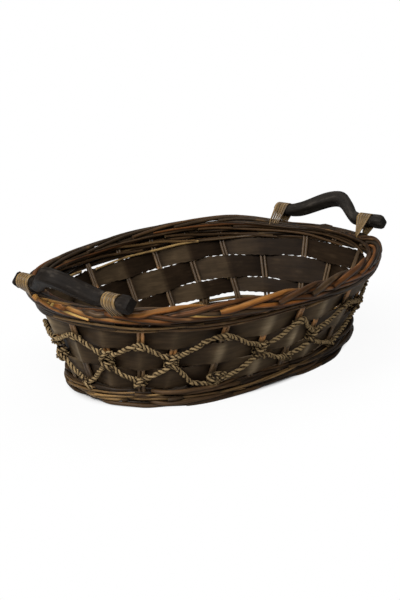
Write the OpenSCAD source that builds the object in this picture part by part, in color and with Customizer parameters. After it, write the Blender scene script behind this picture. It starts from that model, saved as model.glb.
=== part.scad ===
// Oval chip and willow basket with a rope net and two swinging ear handles.
// Origin at the middle of the foot, on the surface that the basket stands on.
// X runs along the basket, from handle to handle, and Z runs up.

/* [Basket] */
// Length over the middle of the border
rim_l = 400; // [380:5:440]
// Width over the middle of the border
rim_w = 300; // [280:5:330]
// Length over the stakes at the foot
foot_l = 349; // [335:1:355]
// Width over the stakes at the foot
foot_w = 226; // [214:1:232]
// Height of the top of the border
height = 106; // [104:1:112]
// Height up to which the wall stands straight, before it leans out
foot_h = 18; // [16:0.5:18.5]

/* [Stakes] */
// Diameter of one stake rod
stake_d = 3.2; // [2.8:0.1:3.4]

/* [Weave] */
// Thickness of the chip splints of the wall
splint_t = 1; // [0.8:0.1:1.2]
// Width of each wall splint, measured upwards
splint_w = 20.5; // [19:0.5:20.5]
// Thickness of the waling rods
wale_d = 3.4; // [3:0.1:3.5]
// Rows of waling at the foot
foot_rows = 5; // [3:1:5]
// Rows of waling under the border
top_rows = 2; // [1:1:2]

/* [Border] */
// Thickness of one strand of the border
border_d = 7; // [6:0.5:7]
// Turns that the two strands make on the way round
border_turns = 14; // [10:1:16]

/* [Rope net] */
// Thickness of the rope
rope_d = 4.4; // [3.6:0.2:4.6]

/* [Floor] */
// Rods across the floor
floor_rods = 11; // [7:2:11]
// Chips along the floor
floor_chips = 5; // [3:2:5]
// Width of one floor chip
chip_w = 38; // [30:1:39]

/* [Handles] */
// Lean of each handle from upright, in degrees
handle_lean = 48; // [30:1:60]
// Rise of the arch over the line of its feet
handle_rise = 24; // [20:1:30]
// Thickness of the bar, in the plane of the arch
bar_t = 11.5; // [9:0.5:11.5]
// Width of the bar, across the arch
bar_w = 15; // [13:0.5:15]
// Distance from the middle of a handle to each lashing
lash_y = 58.5; // [57:0.5:60]
// Turns of cane in one lashing
lash_turns = 4; // [3:1:4]

/* [Hidden] */
WALL_SPLINTS = ["splint_bottom", "splint_middle", "splint_top"];
BORDER = ["border_strand_a", "border_strand_b"];
ROPES = ["rope_lower", "rope_upper"];
HANDLES = ["handle_left", "handle_right"];
LASHINGS = [
    "lashing_left_front", "lashing_left_back",
    "lashing_right_front", "lashing_right_back"
];
// Direction of each stake seen from the middle, 0 at the right end: they stand unevenly
stake_angles = [
    179, 192, 206, 220, 238, 250, 261, 270, 285, 301, 320, 336,
    354, 368, 389, 411, 423, 435, 449, 464, 479, 494, 509, 524
];
stakes = len(stake_angles);
STAKES = [for (i = [1:stakes]) str("stake_pair_", i)];
FOOT_WALE = [for (i = [1:foot_rows]) str("foot_wale_", i)];
TOP_WALE = [for (i = [1:top_rows]) str("top_wale_", i)];
CHIPS = [for (i = [1:floor_chips]) str("floor_chip_", i)];

$fn = 32;
play = 0.3;
bark = [0.24, 0.16, 0.1];
chip = [0.19, 0.15, 0.12];
willow = [0.42, 0.22, 0.11];
rope = [0.46, 0.36, 0.22];
cane = [0.66, 0.5, 0.28];
charred = [0.13, 0.12, 0.11];

// The border is two strands that wind round each other in a flattened twist.
border_reach = 5.2;
border_lift = 3.6;
border_z = height - border_lift - border_d / 2;
border_bottom = border_z - border_lift - border_d / 2;
border_half_w = border_reach + border_d / 2;

// The oval is drawn with four arcs, which meet where the normal has this angle.
arc_split = 60;
end_share = 1 + tan(arc_split) - 1 / cos(arc_split);
// The wall leans out, so what is woven round it stands off a little further.
wall_lean = atan((rim_w - foot_w) / 2 / (border_z - foot_h));
weave_reach = (stake_d + wale_d) / 2 / cos(wall_lean) + play;
splint_reach = (stake_d + splint_t) / 2 / cos(wall_lean) + play;
// Share of a stake's spacing over which the weave runs flat past the stake
flat_share = 0.13;

// The two rods of a pair stand this far apart, and are a little thicker where they bend.
stake_gap = 0.6;
knee_d = stake_d + 0.4;
row_pitch = wale_d + 0.05;
cane_t = 1.3;
cane_w = 3.3;
lash_pitch = 3.9;
lash_steps = 24;
// The cane passes between the border and the waling.
cane_room = cane_t + play * 2;
top_wale_z = border_bottom - cane_room + play / 2 - row_pitch * (top_rows - 0.5);
splint_gap = 1.6;
splint_z = [for (i = [0:2]) foot_rows * row_pitch + splint_w / 2 + play * 2 + i * (splint_w + splint_gap)];

floor_z = 6;
floor_rod_d = 3.6;
floor_rod_pitch = 25;
chip_t = 1;
chip_pitch = 41;
// Width to which an outer chip narrows at its ends, where it is cut to the oval
chip_nose = 12;
chip_reach = (floor_rod_d + chip_t) / 2 + play;
floor_inset = weave_reach + wale_d / 2 + play * 3;

rope_reach = 5.2;
rope_heights = [[23, 41], [69, 50]];
knot_d = 6.8;
knot_l = 13;
knot_reach = 6;
end_knot_d = 10;

end_knot_station = 3.95;
end_knot_z = 27;

// The left handle sits a little lower than the right one.
handle_x = rim_l / 2 - 2;
handle_z = [height + 6.3, height + 8];
neck_d = 12.4;
neck_half = (lash_turns * lash_pitch + cane_w) / 2 + play;
neck_in = lash_y - neck_half;
neck_out = lash_y + neck_half;
arch_half = neck_in - 1;
// Where the arch is highest on the left and on the right handle
arch_peak = [3, -9];
arch_steps = 26;
// How far the front and the back end of a bar stand out of their lashings
bar_ends = [13, 5];
bar_taper = 12;
bar_chamfer = 2;
merge = 0.5;

// Direction of station i: stake i where i is whole, and evenly between them
function stake_angle(i) =
    let (
        rounds = floor(i / stakes),
        j = floor(i - rounds * stakes),
        next = j + 1 < stakes ? stake_angles[j + 1] : stake_angles[0] + 360
    )
    360 * rounds + stake_angles[j] + (i - rounds * stakes - j) * (next - stake_angles[j]);

// Angle of the outward normal of the rim in that direction
function normal_angle(angle) = atan2(rim_l * sin(angle), rim_w * cos(angle));

// Half length and half width of the wall at height z
function flare(z) = max(0, z - foot_h) / (border_z - foot_h);
function wall_a(z) = (foot_l + (rim_l - foot_l) * flare(z)) / 2;
function wall_b(z) = (foot_w + (rim_w - foot_w) * flare(z)) / 2;

// Distance from the middle to the centre of the end arc at height z
function end_centre(z) = (wall_a(z) - wall_b(z)) / end_share;
function end_radius(z) = wall_a(z) - end_centre(z);
function side_centre(z) = end_centre(z) * tan(arc_split);
function side_radius(z) = wall_b(z) + side_centre(z);

// Point on the oval at height z, d outside it, where the normal has the angle n
function oval_point(n, z, d) =
    abs(sin(n)) * cos(arc_split) < abs(cos(n)) * sin(arc_split)
    ? [sign(cos(n)) * end_centre(z) + (end_radius(z) + d) * cos(n), (end_radius(z) + d) * sin(n), z]
    : [(side_radius(z) + d) * cos(n), (side_radius(z) + d) * sin(n) - sign(sin(n)) * side_centre(z), z];

// Half of the oval's width at x, and half of its length at y
function oval_y(x, z, d) =
    abs(x) < (side_radius(z) + d) * cos(arc_split)
    ? sqrt(pow(side_radius(z) + d, 2) - x * x) - side_centre(z)
    : sqrt(max(0, pow(end_radius(z) + d, 2) - pow(abs(x) - end_centre(z), 2)));
function oval_x(y, z, d) =
    abs(y) < (end_radius(z) + d) * sin(arc_split)
    ? sqrt(pow(end_radius(z) + d, 2) - y * y) + end_centre(z)
    : sqrt(max(0, pow(side_radius(z) + d, 2) - pow(abs(y) + side_centre(z), 2)));

function wall_point(i, z, d) = oval_point(normal_angle(stake_angle(i)), z, d);
function wall_normal(i) =
    let (n = normal_angle(stake_angle(i))) [cos(n), sin(n), 0];

// Stations of a weaver: just before, just after and half-way past each stake
stations = [for (i = [0:stakes - 1]) for (step = [-flat_share, flat_share, 0.5]) i + step];

// Side of the stake that a weaver passes on: 1 outside, -1 inside, 0 between
function side_of(i) =
    abs(i - round(i)) > 0.4 ? 0 : (round(i) % 2 == 0 ? 1 : -1);

// Round section of a rod at station i, in the plane across the wall
function rod_section(i, z, d, r, sides = 6) =
    [for (k = [0:sides - 1])
        wall_point(i, z, d)
        + r * cos(360 * (k + 0.5) / sides + 90) * wall_normal(i)
        + [0, 0, r * sin(360 * (k + 0.5) / sides + 90)]];

// Faces of a skin over sections of equal count, each anticlockwise seen from the start
function skin_faces(rings, sides, closed) = [
    for (j = [0:rings - (closed ? 1 : 2)])
        for (k = [0:sides - 1])
            let (
                a = j * sides + k,
                b = j * sides + (k + 1) % sides,
                c = (j + 1) % rings * sides + (k + 1) % sides,
                d = (j + 1) % rings * sides + k
            )
            each [[a, b, c], [a, c, d]]
];

// A closed ring through its sections
module ring(sections) {
    sides = len(sections[0]);
    polyhedron([for (s = sections) each s], skin_faces(len(sections), sides, true));
}

// An open bar through its sections, with flat ends
module bar(sections) {
    sides = len(sections[0]);
    rings = len(sections);
    ends = [
        [for (k = [sides - 1:-1:0]) k],
        [for (k = [0:sides - 1]) (rings - 1) * sides + k]
    ];
    polyhedron([for (s = sections) each s], concat(skin_faces(rings, sides, false), ends));
}

// A straight rod between two points
module rod(from, to, d) {
    run = to - from;
    translate(from)
        rotate([0, acos(run.z / norm(run)), atan2(run.y, run.x)])
            cylinder(d = d, h = norm(run));
}

// Whether the stake at a point stands under one of the cane lashings
function under_lashing(p) = abs(p.x) > rim_l / 3 && abs(abs(p.y) - lash_y) < neck_half + stake_d * 1.5;

// Two rods side by side, bent at the foot, into the underside of the border
module stake_pair(i) {
    n = normal_angle(stake_angle(i));
    aside = [-sin(n), cos(n), 0];
    top = border_bottom - stake_d / 2 - (under_lashing(wall_point(i, border_z, 0)) ? cane_room : 0);
    color(bark)
        for (side = [-1, 1])
            translate(side * (stake_d + stake_gap) / 2 * aside) {
                rod(oval_point(n, stake_d / 2, 0), oval_point(n, foot_h, 0), stake_d);
                translate(oval_point(n, foot_h, 0))
                    sphere(d = knee_d);
                rod(oval_point(n, foot_h, 0), oval_point(n, top, 0), stake_d);
            }
}

// One rod woven round the stakes at height z
module wale(z, phase) {
    color(bark)
        ring([for (i = stations) rod_section(i, z, phase * side_of(i) * weave_reach, wale_d / 2 / cos(30))]);
}

module foot_wale(row) {
    wale(wale_d / 2 + row * row_pitch, row % 2 == 0 ? 1 : -1);
}

module top_wale(row) {
    wale(top_wale_z + row * row_pitch, row % 2 == 0 ? 1 : -1);
}

// A chip splint woven round the stakes, inside the even ones where phase is -1
module wall_splint(row) {
    low = splint_z[row] - splint_w / 2;
    high = splint_z[row] + splint_w / 2;
    phase = row == 1 ? 1 : -1;
    color(chip)
        ring([for (i = stations)
            let (d = phase * side_of(i) * splint_reach) [
                wall_point(i, high, d + splint_t / 2),
                wall_point(i, high, d - splint_t / 2),
                wall_point(i, low, d - splint_t / 2),
                wall_point(i, low, d + splint_t / 2)
            ]]);
}

// One of the two strands that wind round each other along the rim
module border_strand(strand) {
    steps = border_turns * 8;
    color(willow)
        ring([for (j = [0:steps - 1])
            let (turn = 360 * border_turns * j / steps + 180 * strand)
            rod_section(
                stakes * j / steps,
                border_z + border_lift * sin(turn),
                border_reach * cos(turn) - (border_lift * sin(turn)) * tan(wall_lean) * 0.7,
                border_d / 2
            )]);
}

// One rope of the net, low and high in turn at every other stake
module net_rope(which) {
    z = rope_heights[which];
    color(rope)
        ring([for (i = stations)
            rod_section(i, (z[0] + z[1]) / 2 + (z[0] - z[1]) / 2 * side_of(i), rope_reach, rope_d / 2)]);
}

// Knots that tie both ropes over every odd stake
module rope_knots() {
    z = (rope_heights[0][1] + rope_heights[1][1]) / 2;
    color(rope)
        for (i = [1:2:stakes - 1]) {
            low = wall_point(i, z - knot_l / 2, knot_reach);
            high = wall_point(i, z + knot_l / 2, knot_reach);
            run = high - low;
            translate(low)
                rotate([0, acos(run.z / norm(run)), atan2(run.y, run.x)])
                    rotate_extrude()
                        polygon([
                            [0, 0], [knot_d * 0.34, 0], [knot_d / 2, knot_l * 0.3],
                            [knot_d / 2, knot_l * 0.7], [knot_d * 0.34, knot_l], [0, knot_l]
                        ]);
        }
}

// The knot that ties the ends of the lower rope, near the middle of the front
module rope_end_knot() {
    color(rope)
        translate(wall_point(end_knot_station, end_knot_z, end_knot_d / 2 + rope_d / 2))
            sphere(d = end_knot_d);
}

function floor_rod_x(k) = (k - (floor_rods - 1) / 2) * floor_rod_pitch;

module floor_rods() {
    color(bark)
        for (k = [0:floor_rods - 1]) {
            x = floor_rod_x(k);
            y = oval_y(x, floor_z, -floor_inset);
            rod([x, -y, floor_z], [x, y, floor_z], floor_rod_d);
        }
}

// A chip woven lengthwise over and under the floor rods, cut to the oval
module floor_chip(row) {
    y = (row - (floor_chips - 1) / 2) * chip_pitch;
    tip = oval_x(max(chip_w / 2, abs(y) - chip_w / 2 + chip_nose), floor_z, -floor_inset);
    rods = [for (k = [0:floor_rods - 1]) if (abs(floor_rod_x(k)) < tip - floor_rod_d) k];
    last = rods[len(rods) - 1];
    reach = last + 1 < floor_rods ? min(tip, floor_rod_x(last + 1) - floor_rod_d) : tip;
    inner = [for (k = rods) for (step = k < last ? [-0.5, -0.16, 0.16] : [-0.5, -0.16, 0.16, 0.5])
        if (abs(floor_rod_x(k + step)) < reach - 1)
            [floor_rod_x(k + step), abs(step) > 0.4 ? 0 : ((k + row) % 2 == 0 ? chip_reach : -chip_reach)]];
    from = inner[0];
    to = inner[len(inner) - 1];
    way = concat(
        [for (share = [1, 0.7, 0.4]) [from.x - share * (reach + from.x), from.y]],
        inner,
        [for (share = [0.4, 0.7, 1]) [to.x + share * (reach - to.x), to.y]]
    );
    color(chip)
        bar([for (p = way)
            let (
                half = oval_y(p.x, floor_z, -floor_inset),
                low = max(y - chip_w / 2, -half),
                high = min(y + chip_w / 2, half),
                z = floor_z + p.y
            )
            [
                [p.x, low, z + chip_t / 2],
                [p.x, high, z + chip_t / 2],
                [p.x, high, z - chip_t / 2],
                [p.x, low, z - chip_t / 2]
            ]]);
}

// Section of the handle bar, rise above the foot line at y, tilted by slope
function bar_section(y, rise, slope, t, w) =
    let (
        c = bar_chamfer,
        corners = [
            [t / 2, c - w / 2], [t / 2 - c, -w / 2], [c - t / 2, -w / 2], [-t / 2, c - w / 2],
            [-t / 2, w / 2 - c], [c - t / 2, w / 2], [t / 2 - c, w / 2], [t / 2, w / 2 - c]
        ]
    )
    [for (p = corners) [p.y, y - p.x * sin(slope), rise + p.x * cos(slope)]];

// The arch rises smoothly from both necks to its peak.
function arch_span(y, peak) = y < peak ? arch_half + peak : arch_half - peak;
function arch_rise(y, peak) = handle_rise / 2 * (1 + cos(180 * (y - peak) / arch_span(y, peak)));
function arch_slope(y, peak) =
    let (span = arch_span(y, peak))
    atan(-handle_rise / 2 * PI / span * sin(180 * (y - peak) / span));

// Width of the bar, which narrows to its necks
function bar_width(y) = neck_d + (bar_w - neck_d) * min(1, (neck_in - abs(y)) / bar_taper);

// The bent bar, with a round neck under each lashing and a block beyond it
module handle(which) {
    side = which == 0 ? -1 : 1;
    peak = arch_peak[which];
    color(charred)
        translate([side * handle_x, 0, handle_z[which]])
            rotate([0, side * handle_lean, 0]) {
                bar([for (j = [0:arch_steps])
                    let (
                        y = neck_in * (2 * j / arch_steps - 1),
                        on_arch = max(-arch_half, min(arch_half, y))
                    )
                    bar_section(y, arch_rise(on_arch, peak), arch_slope(on_arch, peak), bar_t, bar_width(y))]);
                for (end = [0, 1])
                    mirror([0, 1 - end, 0]) {
                        translate([0, lash_y, 0])
                            rotate([90, 0, 0])
                                cylinder(d = neck_d, h = 2 * (neck_half + merge), center = true);
                        bar([for (p = [[0, 0], [bar_ends[end] - 3, 0], [bar_ends[end], 2]])
                            bar_section(neck_out + p.x, 0, 0, bar_t - p.y, bar_w - p.y)]);
                    }
            }
}

// Where a tight loop round the neck and the border lies, in the direction angle
function loop_point(which, y, angle, grow) =
    let (
        u = [cos(angle), sin(angle)],
        neck = [handle_x, handle_z[which]],
        rim = [oval_x(y, border_z, 0), border_z],
        lean = sqrt(1 - pow(y / end_radius(border_z), 2)),
        a = border_half_w / lean + play * 3 + grow,
        b = border_z - border_bottom + play + grow,
        reach = sqrt(pow(a * u.x, 2) + pow(b * u.y, 2)),
        neck_point = neck + (neck_d / 2 + play + grow) * u,
        rim_point = rim + [a * a * u.x, b * b * u.y] / reach,
        p = neck_point * u > rim_point * u ? neck_point : rim_point
    )
    [(which == 0 ? -1 : 1) * p.x, y, p.y];

// Sections of the cane as it winds, six points each
function lash_sections(which, end) = [
    for (j = [0:lash_turns * lash_steps])
        let (
            angle = 360 * j / lash_steps - 90,
            y = end * lash_y + (j / lash_steps - lash_turns / 2) * lash_pitch,
            w = cane_w / 2,
            t = cane_t
        )
        [
            loop_point(which, y, angle, t / 2) + [0, -w, 0],
            loop_point(which, y, angle, 0) + [0, -w * 0.7, 0],
            loop_point(which, y, angle, 0) + [0, w * 0.7, 0],
            loop_point(which, y, angle, t / 2) + [0, w, 0],
            loop_point(which, y, angle, t) + [0, w * 0.7, 0],
            loop_point(which, y, angle, t) + [0, -w * 0.7, 0]
        ]
];

// Least distance between the points of one turn and those of the next
function least_gap(sections) = min([
    for (j = [0:len(sections) - 1])
        for (k = [j + lash_steps - 2:j + lash_steps + 2])
            if (k < len(sections))
                for (p = sections[j])
                    for (q = sections[k])
                        norm(p - q)
]);

module lashing(which, end) {
    sections = lash_sections(which, end);
    echo(lashing_turns = lash_turns, least_gap = least_gap(sections));
    color(cane)
        bar(which == 1 ? sections : [for (s = sections) [for (k = [5:-1:0]) s[k]]]);
}

floor_rods();
for (i = [0:floor_chips - 1])
    floor_chip(i);
for (i = [0:stakes - 1])
    stake_pair(i);
for (i = [0:foot_rows - 1])
    foot_wale(i);
for (i = [0:len(WALL_SPLINTS) - 1])
    wall_splint(i);
for (i = [0:top_rows - 1])
    top_wale(i);
for (i = [0:len(BORDER) - 1])
    border_strand(i);
for (i = [0:len(ROPES) - 1])
    net_rope(i);
rope_knots();
rope_end_knot();
for (i = [0:len(HANDLES) - 1])
    handle(i);
for (i = [0:len(LASHINGS) - 1])
    lashing(floor(i / 2), i % 2 == 0 ? -1 : 1);
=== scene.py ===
import logging
import math
import random
from dataclasses import dataclass, field
from enum import Enum
from typing import Callable, Iterable, Sequence

import bpy
from mathutils.kdtree import KDTree
from mathutils import Matrix, Vector


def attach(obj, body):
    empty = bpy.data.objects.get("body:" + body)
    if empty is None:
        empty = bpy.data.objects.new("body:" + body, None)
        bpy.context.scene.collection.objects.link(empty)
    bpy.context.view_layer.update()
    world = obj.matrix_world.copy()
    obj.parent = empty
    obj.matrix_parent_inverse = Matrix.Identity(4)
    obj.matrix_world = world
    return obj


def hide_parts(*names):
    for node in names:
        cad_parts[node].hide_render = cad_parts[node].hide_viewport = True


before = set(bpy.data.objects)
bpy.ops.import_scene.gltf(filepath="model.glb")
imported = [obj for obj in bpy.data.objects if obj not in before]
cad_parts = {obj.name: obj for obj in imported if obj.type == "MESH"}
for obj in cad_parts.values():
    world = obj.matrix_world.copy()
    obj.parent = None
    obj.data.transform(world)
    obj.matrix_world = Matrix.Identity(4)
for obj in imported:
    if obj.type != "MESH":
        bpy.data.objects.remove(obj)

log = logging.getLogger("basket")

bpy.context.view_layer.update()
MM = 0.001
UP = Vector((0, 0, 1))
Colour = tuple[float, float, float]
Stops = Sequence[tuple[float, Colour]]


class Side(Enum):
    """The two ends of the basket that carry a handle."""

    LEFT = -1
    RIGHT = 1


class Row(Enum):
    """The three wall splints, lowest first."""

    BOTTOM = 0
    MIDDLE = 1
    TOP = 2


class Attr:
    """Names of the mesh attributes that the finishes read."""

    LAY = "lay"
    # tone of each point; on splints, border rods, cord strands and cane it also holds painted light and shade
    TONE_AND_LIGHT = "tone"
    CUT = "cut"
    # 1 where a point is clear of other rods, lower where painted crevice shade darkens it
    CREVICE_LIGHT = "open"


def blend(low: float, high: float, share: float) -> float:
    """Return the value at that share of the way from low to high."""
    return low + (high - low) * share


def ease(share: float) -> float:
    """Return a share from 0 to 1 with a slow start and a slow end."""
    share = min(1.0, max(0.0, share))
    return share * share * (3 - 2 * share)


def bump(at: float, middle: float, half: float) -> float:
    """Return 1 at the middle, falling smoothly to 0 half a width away."""
    return ease(1 - abs(at - middle) / half)


def through(stops: Sequence[Vector], steps: int) -> list[Vector]:
    """Return a smooth line of points through the stops.

    Args:
        stops: the points that the line passes through.
        steps: how many points each part of it gets.

    Returns:
        The points, the last stop included.
    """
    ends = [2 * stops[0] - stops[1], *stops, 2 * stops[-1] - stops[-2]]
    line = []
    for a, b, c, d in zip(ends, ends[1:], ends[2:], ends[3:]):
        for s in range(steps):
            t = s / steps
            line.append(
                0.5 * (2 * b + (c - a) * t + (2 * a - 5 * b + 4 * c - d) * t ** 2 + (3 * b - a - 3 * c + d) * t ** 3)
            )
    return [*line, stops[-1].copy()]


@dataclass(frozen=True)
class Wall:
    """The leaning oval wall that every piece follows, in millimetres."""

    rim_l: float = 400.0
    rim_w: float = 300.0
    foot_l: float = 349.0
    foot_w: float = 226.0
    height: float = 106.0
    foot_h: float = 18.0
    arc_split: float = math.radians(60)
    border_lift: float = 3.6
    border_d: float = 7.0
    angles: tuple[int, ...] = (
        179, 192, 206, 220, 238, 250, 261, 270, 285, 301, 320, 336,
        354, 368, 389, 411, 423, 435, 449, 464, 479, 494, 509, 524,
    )

    @property
    def stakes(self) -> int:
        """Return the number of stakes."""
        return len(self.angles)

    @property
    def border_z(self) -> float:
        """Return the height of the middle of the border."""
        return self.height - self.border_lift - self.border_d / 2

    @property
    def border_bottom(self) -> float:
        """Return the height of the underside of the border."""
        return self.border_z - self.border_lift - self.border_d / 2

    def normal_angle(self, i: float) -> float:
        """Return the direction of the wall's normal at stake number i.

        Args:
            i: stake number, counted from the left end, with parts of a stake.

        Returns:
            The angle in radians.
        """
        whole = math.floor(i)
        here = self.angles[whole % self.stakes]
        ahead = self.angles[(whole + 1) % self.stakes]
        turn = math.radians(here + (i - whole) * ((ahead - here) % 360))
        return math.atan2(self.rim_l * math.sin(turn), self.rim_w * math.cos(turn))

    def arcs(self, z: float) -> tuple[float, float, float, float]:
        """Return the end arc's centre and radius and the side arc's, at height z."""
        share = max(0.0, z - self.foot_h) / (self.border_z - self.foot_h)
        a = blend(self.foot_l, self.rim_l, share) / 2
        b = blend(self.foot_w, self.rim_w, share) / 2
        end = (a - b) / (1 + math.tan(self.arc_split) - 1 / math.cos(self.arc_split))
        side = end * math.tan(self.arc_split)
        return end, a - end, side, b + side

    def normal(self, i: float) -> Vector:
        """Return the wall's level outward normal at stake number i."""
        n = self.normal_angle(i)
        return Vector((math.cos(n), math.sin(n), 0))

    def aside(self, i: float) -> Vector:
        """Return the level direction along the wall at stake number i."""
        n = self.normal_angle(i)
        return Vector((-math.sin(n), math.cos(n), 0))

    def point(self, i: float, z: float, out: float = 0.0) -> Vector:
        """Return the point at stake number i and height z, that far outside the wall.

        Args:
            i: stake number, with parts of a stake.
            z: height over the floor.
            out: distance outside the wall's middle, negative inside it.

        Returns:
            The point in millimetres.
        """
        n = self.normal_angle(i)
        c, s = math.cos(n), math.sin(n)
        end, end_r, side, side_r = self.arcs(z)
        if abs(s) * math.cos(self.arc_split) < abs(c) * math.sin(self.arc_split):
            return Vector((math.copysign(end, c) + (end_r + out) * c, (end_r + out) * s, z))
        return Vector(((side_r + out) * c, (side_r + out) * s - math.copysign(side, s), z))

    def half_width(self, x: float, z: float, out: float) -> float:
        """Return the oval's half width at x, at height z, that far outside the wall."""
        end, end_r, side, side_r = self.arcs(z)
        if abs(x) < (side_r + out) * math.cos(self.arc_split):
            return math.sqrt((side_r + out) ** 2 - x * x) - side
        return math.sqrt(max(0.0, (end_r + out) ** 2 - (abs(x) - end) ** 2))

    def half_length(self, y: float, z: float, out: float) -> float:
        """Return the oval's half length at y, at height z, that far outside the wall."""
        end, end_r, side, side_r = self.arcs(z)
        if abs(y) < (end_r + out) * math.sin(self.arc_split):
            return math.sqrt((end_r + out) ** 2 - y * y) + end
        return math.sqrt(max(0.0, (side_r + out) ** 2 - (abs(y) + side) ** 2))

    def nearness(self, i: float, k: float) -> float:
        """Return how far apart two stake numbers are, the short way round."""
        gap = abs(i - k) % self.stakes
        return min(gap, self.stakes - gap)


WALL = Wall()


class Maker:
    """Gathers the strips and rods of one piece into one mesh."""

    def __init__(self, name: str) -> None:
        """Start an empty piece.

        Args:
            name: the piece's name.
        """
        self.name = name
        self.points: list[Vector] = []
        self.faces: list[tuple[int, ...]] = []
        self.lays: list[Vector] = []
        self.tones: list[float] = []
        self.cuts: list[float] = []
        # per point, 1 where no painted crevice shade falls, lower where it darkens the point
        self.crevice_lights: list[float] = []
        self.rods: list[tuple[int, int, list[tuple[Vector, float]]]] = []

    def add(self, points: Sequence[Vector], lays: Sequence[Vector], tone: float, cut: float) -> None:
        """Add points with their attributes."""
        self.points.extend(points)
        self.lays.extend(lays)
        self.tones.extend([tone] * len(points))
        self.cuts.extend([cut] * len(points))
        self.crevice_lights.extend([1.0] * len(points))

    def skin(
        self,
        rings: Sequence[Sequence[Vector]],
        lays: Sequence[Sequence[Vector]],
        tone: float,
        tones: Sequence[Sequence[float]] = (),
    ) -> None:
        """Add a skin over rings of points, with a cut face at each end.

        Args:
            rings: the sections, each anticlockwise seen from the start.
            lays: for each point, its place in the straightened piece.
            tone: shade of this rod or strip, 0 to 1.
            tones: the shade of each point, where it isn't the same all over.
        """
        first, sides, count = len(self.points), len(rings[0]), len(rings)
        for ring, lay in zip(rings, lays):
            self.add(ring, lay, tone, 0.0)
        if tones:
            self.tones[first:] = [t for ring in tones for t in ring]
        for j in range(count - 1):
            near, far = first + j * sides, first + (j + 1) * sides
            for k in range(sides):
                nxt = (k + 1) % sides
                self.faces.append((near + nxt, near + k, far + k, far + nxt))
        for j, order in ((0, 1), (count - 1, -1)):
            self.cap(rings[j][::order], lays[j][::order], tone)

    def cap(self, ring: Sequence[Vector], lay: Sequence[Vector], tone: float) -> None:
        """Close an end with a fan whose middle is a fresh cut.

        Args:
            ring: the end's points, anticlockwise seen from outside.
            lay: their places in the straightened piece.
            tone: shade of the rod.
        """
        first, sides = len(self.points), len(ring)
        self.add(ring, lay, tone, 0.15)
        self.add([sum(ring, Vector()) / sides], [sum(lay, Vector()) / sides], tone, 1.0)
        for k in range(sides):
            self.faces.append((first + k, first + (k + 1) % sides, first + sides))

    def tube(
        self,
        path: Sequence[Vector],
        radius: Callable[[float], float],
        guide: Callable[[int], Vector],
        tone: float,
        seed: float,
        sides: int = 10,
        outward: Callable[[int], Vector] | None = None,
    ) -> None:
        """Add a rod along a path.

        Args:
            path: points along the rod's middle, in millimetres.
            radius: the radius at a share of the length.
            guide: a direction across the rod at a point's number.
            tone: shade of the rod, 0 to 1.
            seed: moves the rod's grain, so that no two are alike.
            sides: points round the section.
            outward: for a strand of a rope, the direction away from the rope's middle at a point's number, used to
                paint shade on the strand's side that faces the middle.
        """
        rings, lays, tones, run = [], [], [], 0.0
        count, first, core = len(path), len(self.points), []
        turns = [2 * math.pi * k / sides for k in range(sides)]
        for j, p in enumerate(path):
            ahead = path[min(j + 1, count - 1)] - path[max(j - 1, 0)]
            along = ahead.normalized()
            across = along.cross(guide(j)).normalized()
            up = across.cross(along)
            r = radius(j / (count - 1))
            if j:
                length = (p - path[j - 1]).length
                parts = max(1, round(length / 1.6))
                core += [(path[j - 1].lerp(p, n / parts), r) for n in range(parts)]
                run += length
            spokes = [math.cos(t) * up + math.sin(t) * across for t in turns]
            rings.append([p + r * spoke for spoke in spokes])
            lays.append([Vector((run + seed * 531, r * math.cos(t), r * math.sin(t))) for t in turns])
            # Painted shade: the strand is darker on its side towards the rope's middle.
            if outward:
                tones.append([tone * ease(0.35 + 0.75 * spoke.dot(outward(j))) for spoke in spokes])
        self.skin(rings, lays, tone, tones)
        self.rods.append((first, len(self.points), core))

    def build(self, slot: str, nodes: Iterable[str], finish: "Finish", body: str = "basket") -> bpy.types.Object:
        """Make the object, dress it, and stand it in for its nodes.

        Args:
            slot: the record's material slot, not used.
            nodes: the nodes that the piece stands for.
            finish: the finish to dress it with.
            body: the body that it rides on.

        Returns:
            The new object.
        """
        mesh = bpy.data.meshes.new(self.name)
        mesh.from_pydata([p * MM for p in self.points], [], self.faces)
        lay = mesh.attributes.new(Attr.LAY, "FLOAT_VECTOR", "POINT")
        lay.data.foreach_set("vector", [c for v in self.lays for c in v])
        for name, values in ((Attr.TONE_AND_LIGHT, self.tones), (Attr.CUT, self.cuts), (Attr.CREVICE_LIGHT, self.crevice_lights)):
            mesh.attributes.new(name, "FLOAT", "POINT").data.foreach_set("value", values)
        mesh.shade_smooth()
        mesh.set_sharp_from_angle(angle=math.radians(50))
        mesh.update()
        piece = bpy.data.objects.new(self.name, mesh)
        bpy.context.scene.collection.objects.link(piece)
        mesh.materials.append(finish.material())
        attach(piece, body)
        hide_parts(*nodes)
        log.info("%s: %d points, stands for %s", self.name, len(self.points), ", ".join(nodes))
        return piece


class CreviceShade:
    """Paints shade into the rods of a weave where they touch, darker the nearer another rod lies."""

    def __init__(self, makers: Sequence[Maker]) -> None:
        """Note where every rod of some pieces runs.

        Args:
            makers: the pieces, before they are built.
        """
        self.makers = makers
        self.cores = [
            (point, radius, (which, number))
            for which, maker in enumerate(makers)
            for number, (_, _, core) in enumerate(maker.rods)
            for point, radius in core
        ]
        self.tree = KDTree(len(self.cores))
        for n, (point, _, _) in enumerate(self.cores):
            self.tree.insert(point, n)
        self.tree.balance()

    def gap(self, point: Vector, owner: tuple[int, int], near: float) -> float:
        """Return the distance from a point of a rod to the surface of the nearest other rod."""
        found = self.tree.find_range(point, near)
        return min((far - self.cores[n][1] for _, n, far in found if self.cores[n][2] != owner), default=near)

    def darken(self, reach: float, near: float) -> None:
        """Write into the pieces how much painted shade each of their points gets, 1 where it gets none.

        Args:
            reach: the gap in millimetres from which a point gets no painted shade.
            near: how far to look for other rods' middles.
        """
        for which, maker in enumerate(self.makers):
            for number, (first, last, _) in enumerate(maker.rods):
                for n in range(first, last):
                    gap = self.gap(maker.points[n], (which, number), near)
                    maker.crevice_lights[n] = ease((gap + 0.4) / (reach + 0.4))


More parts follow.
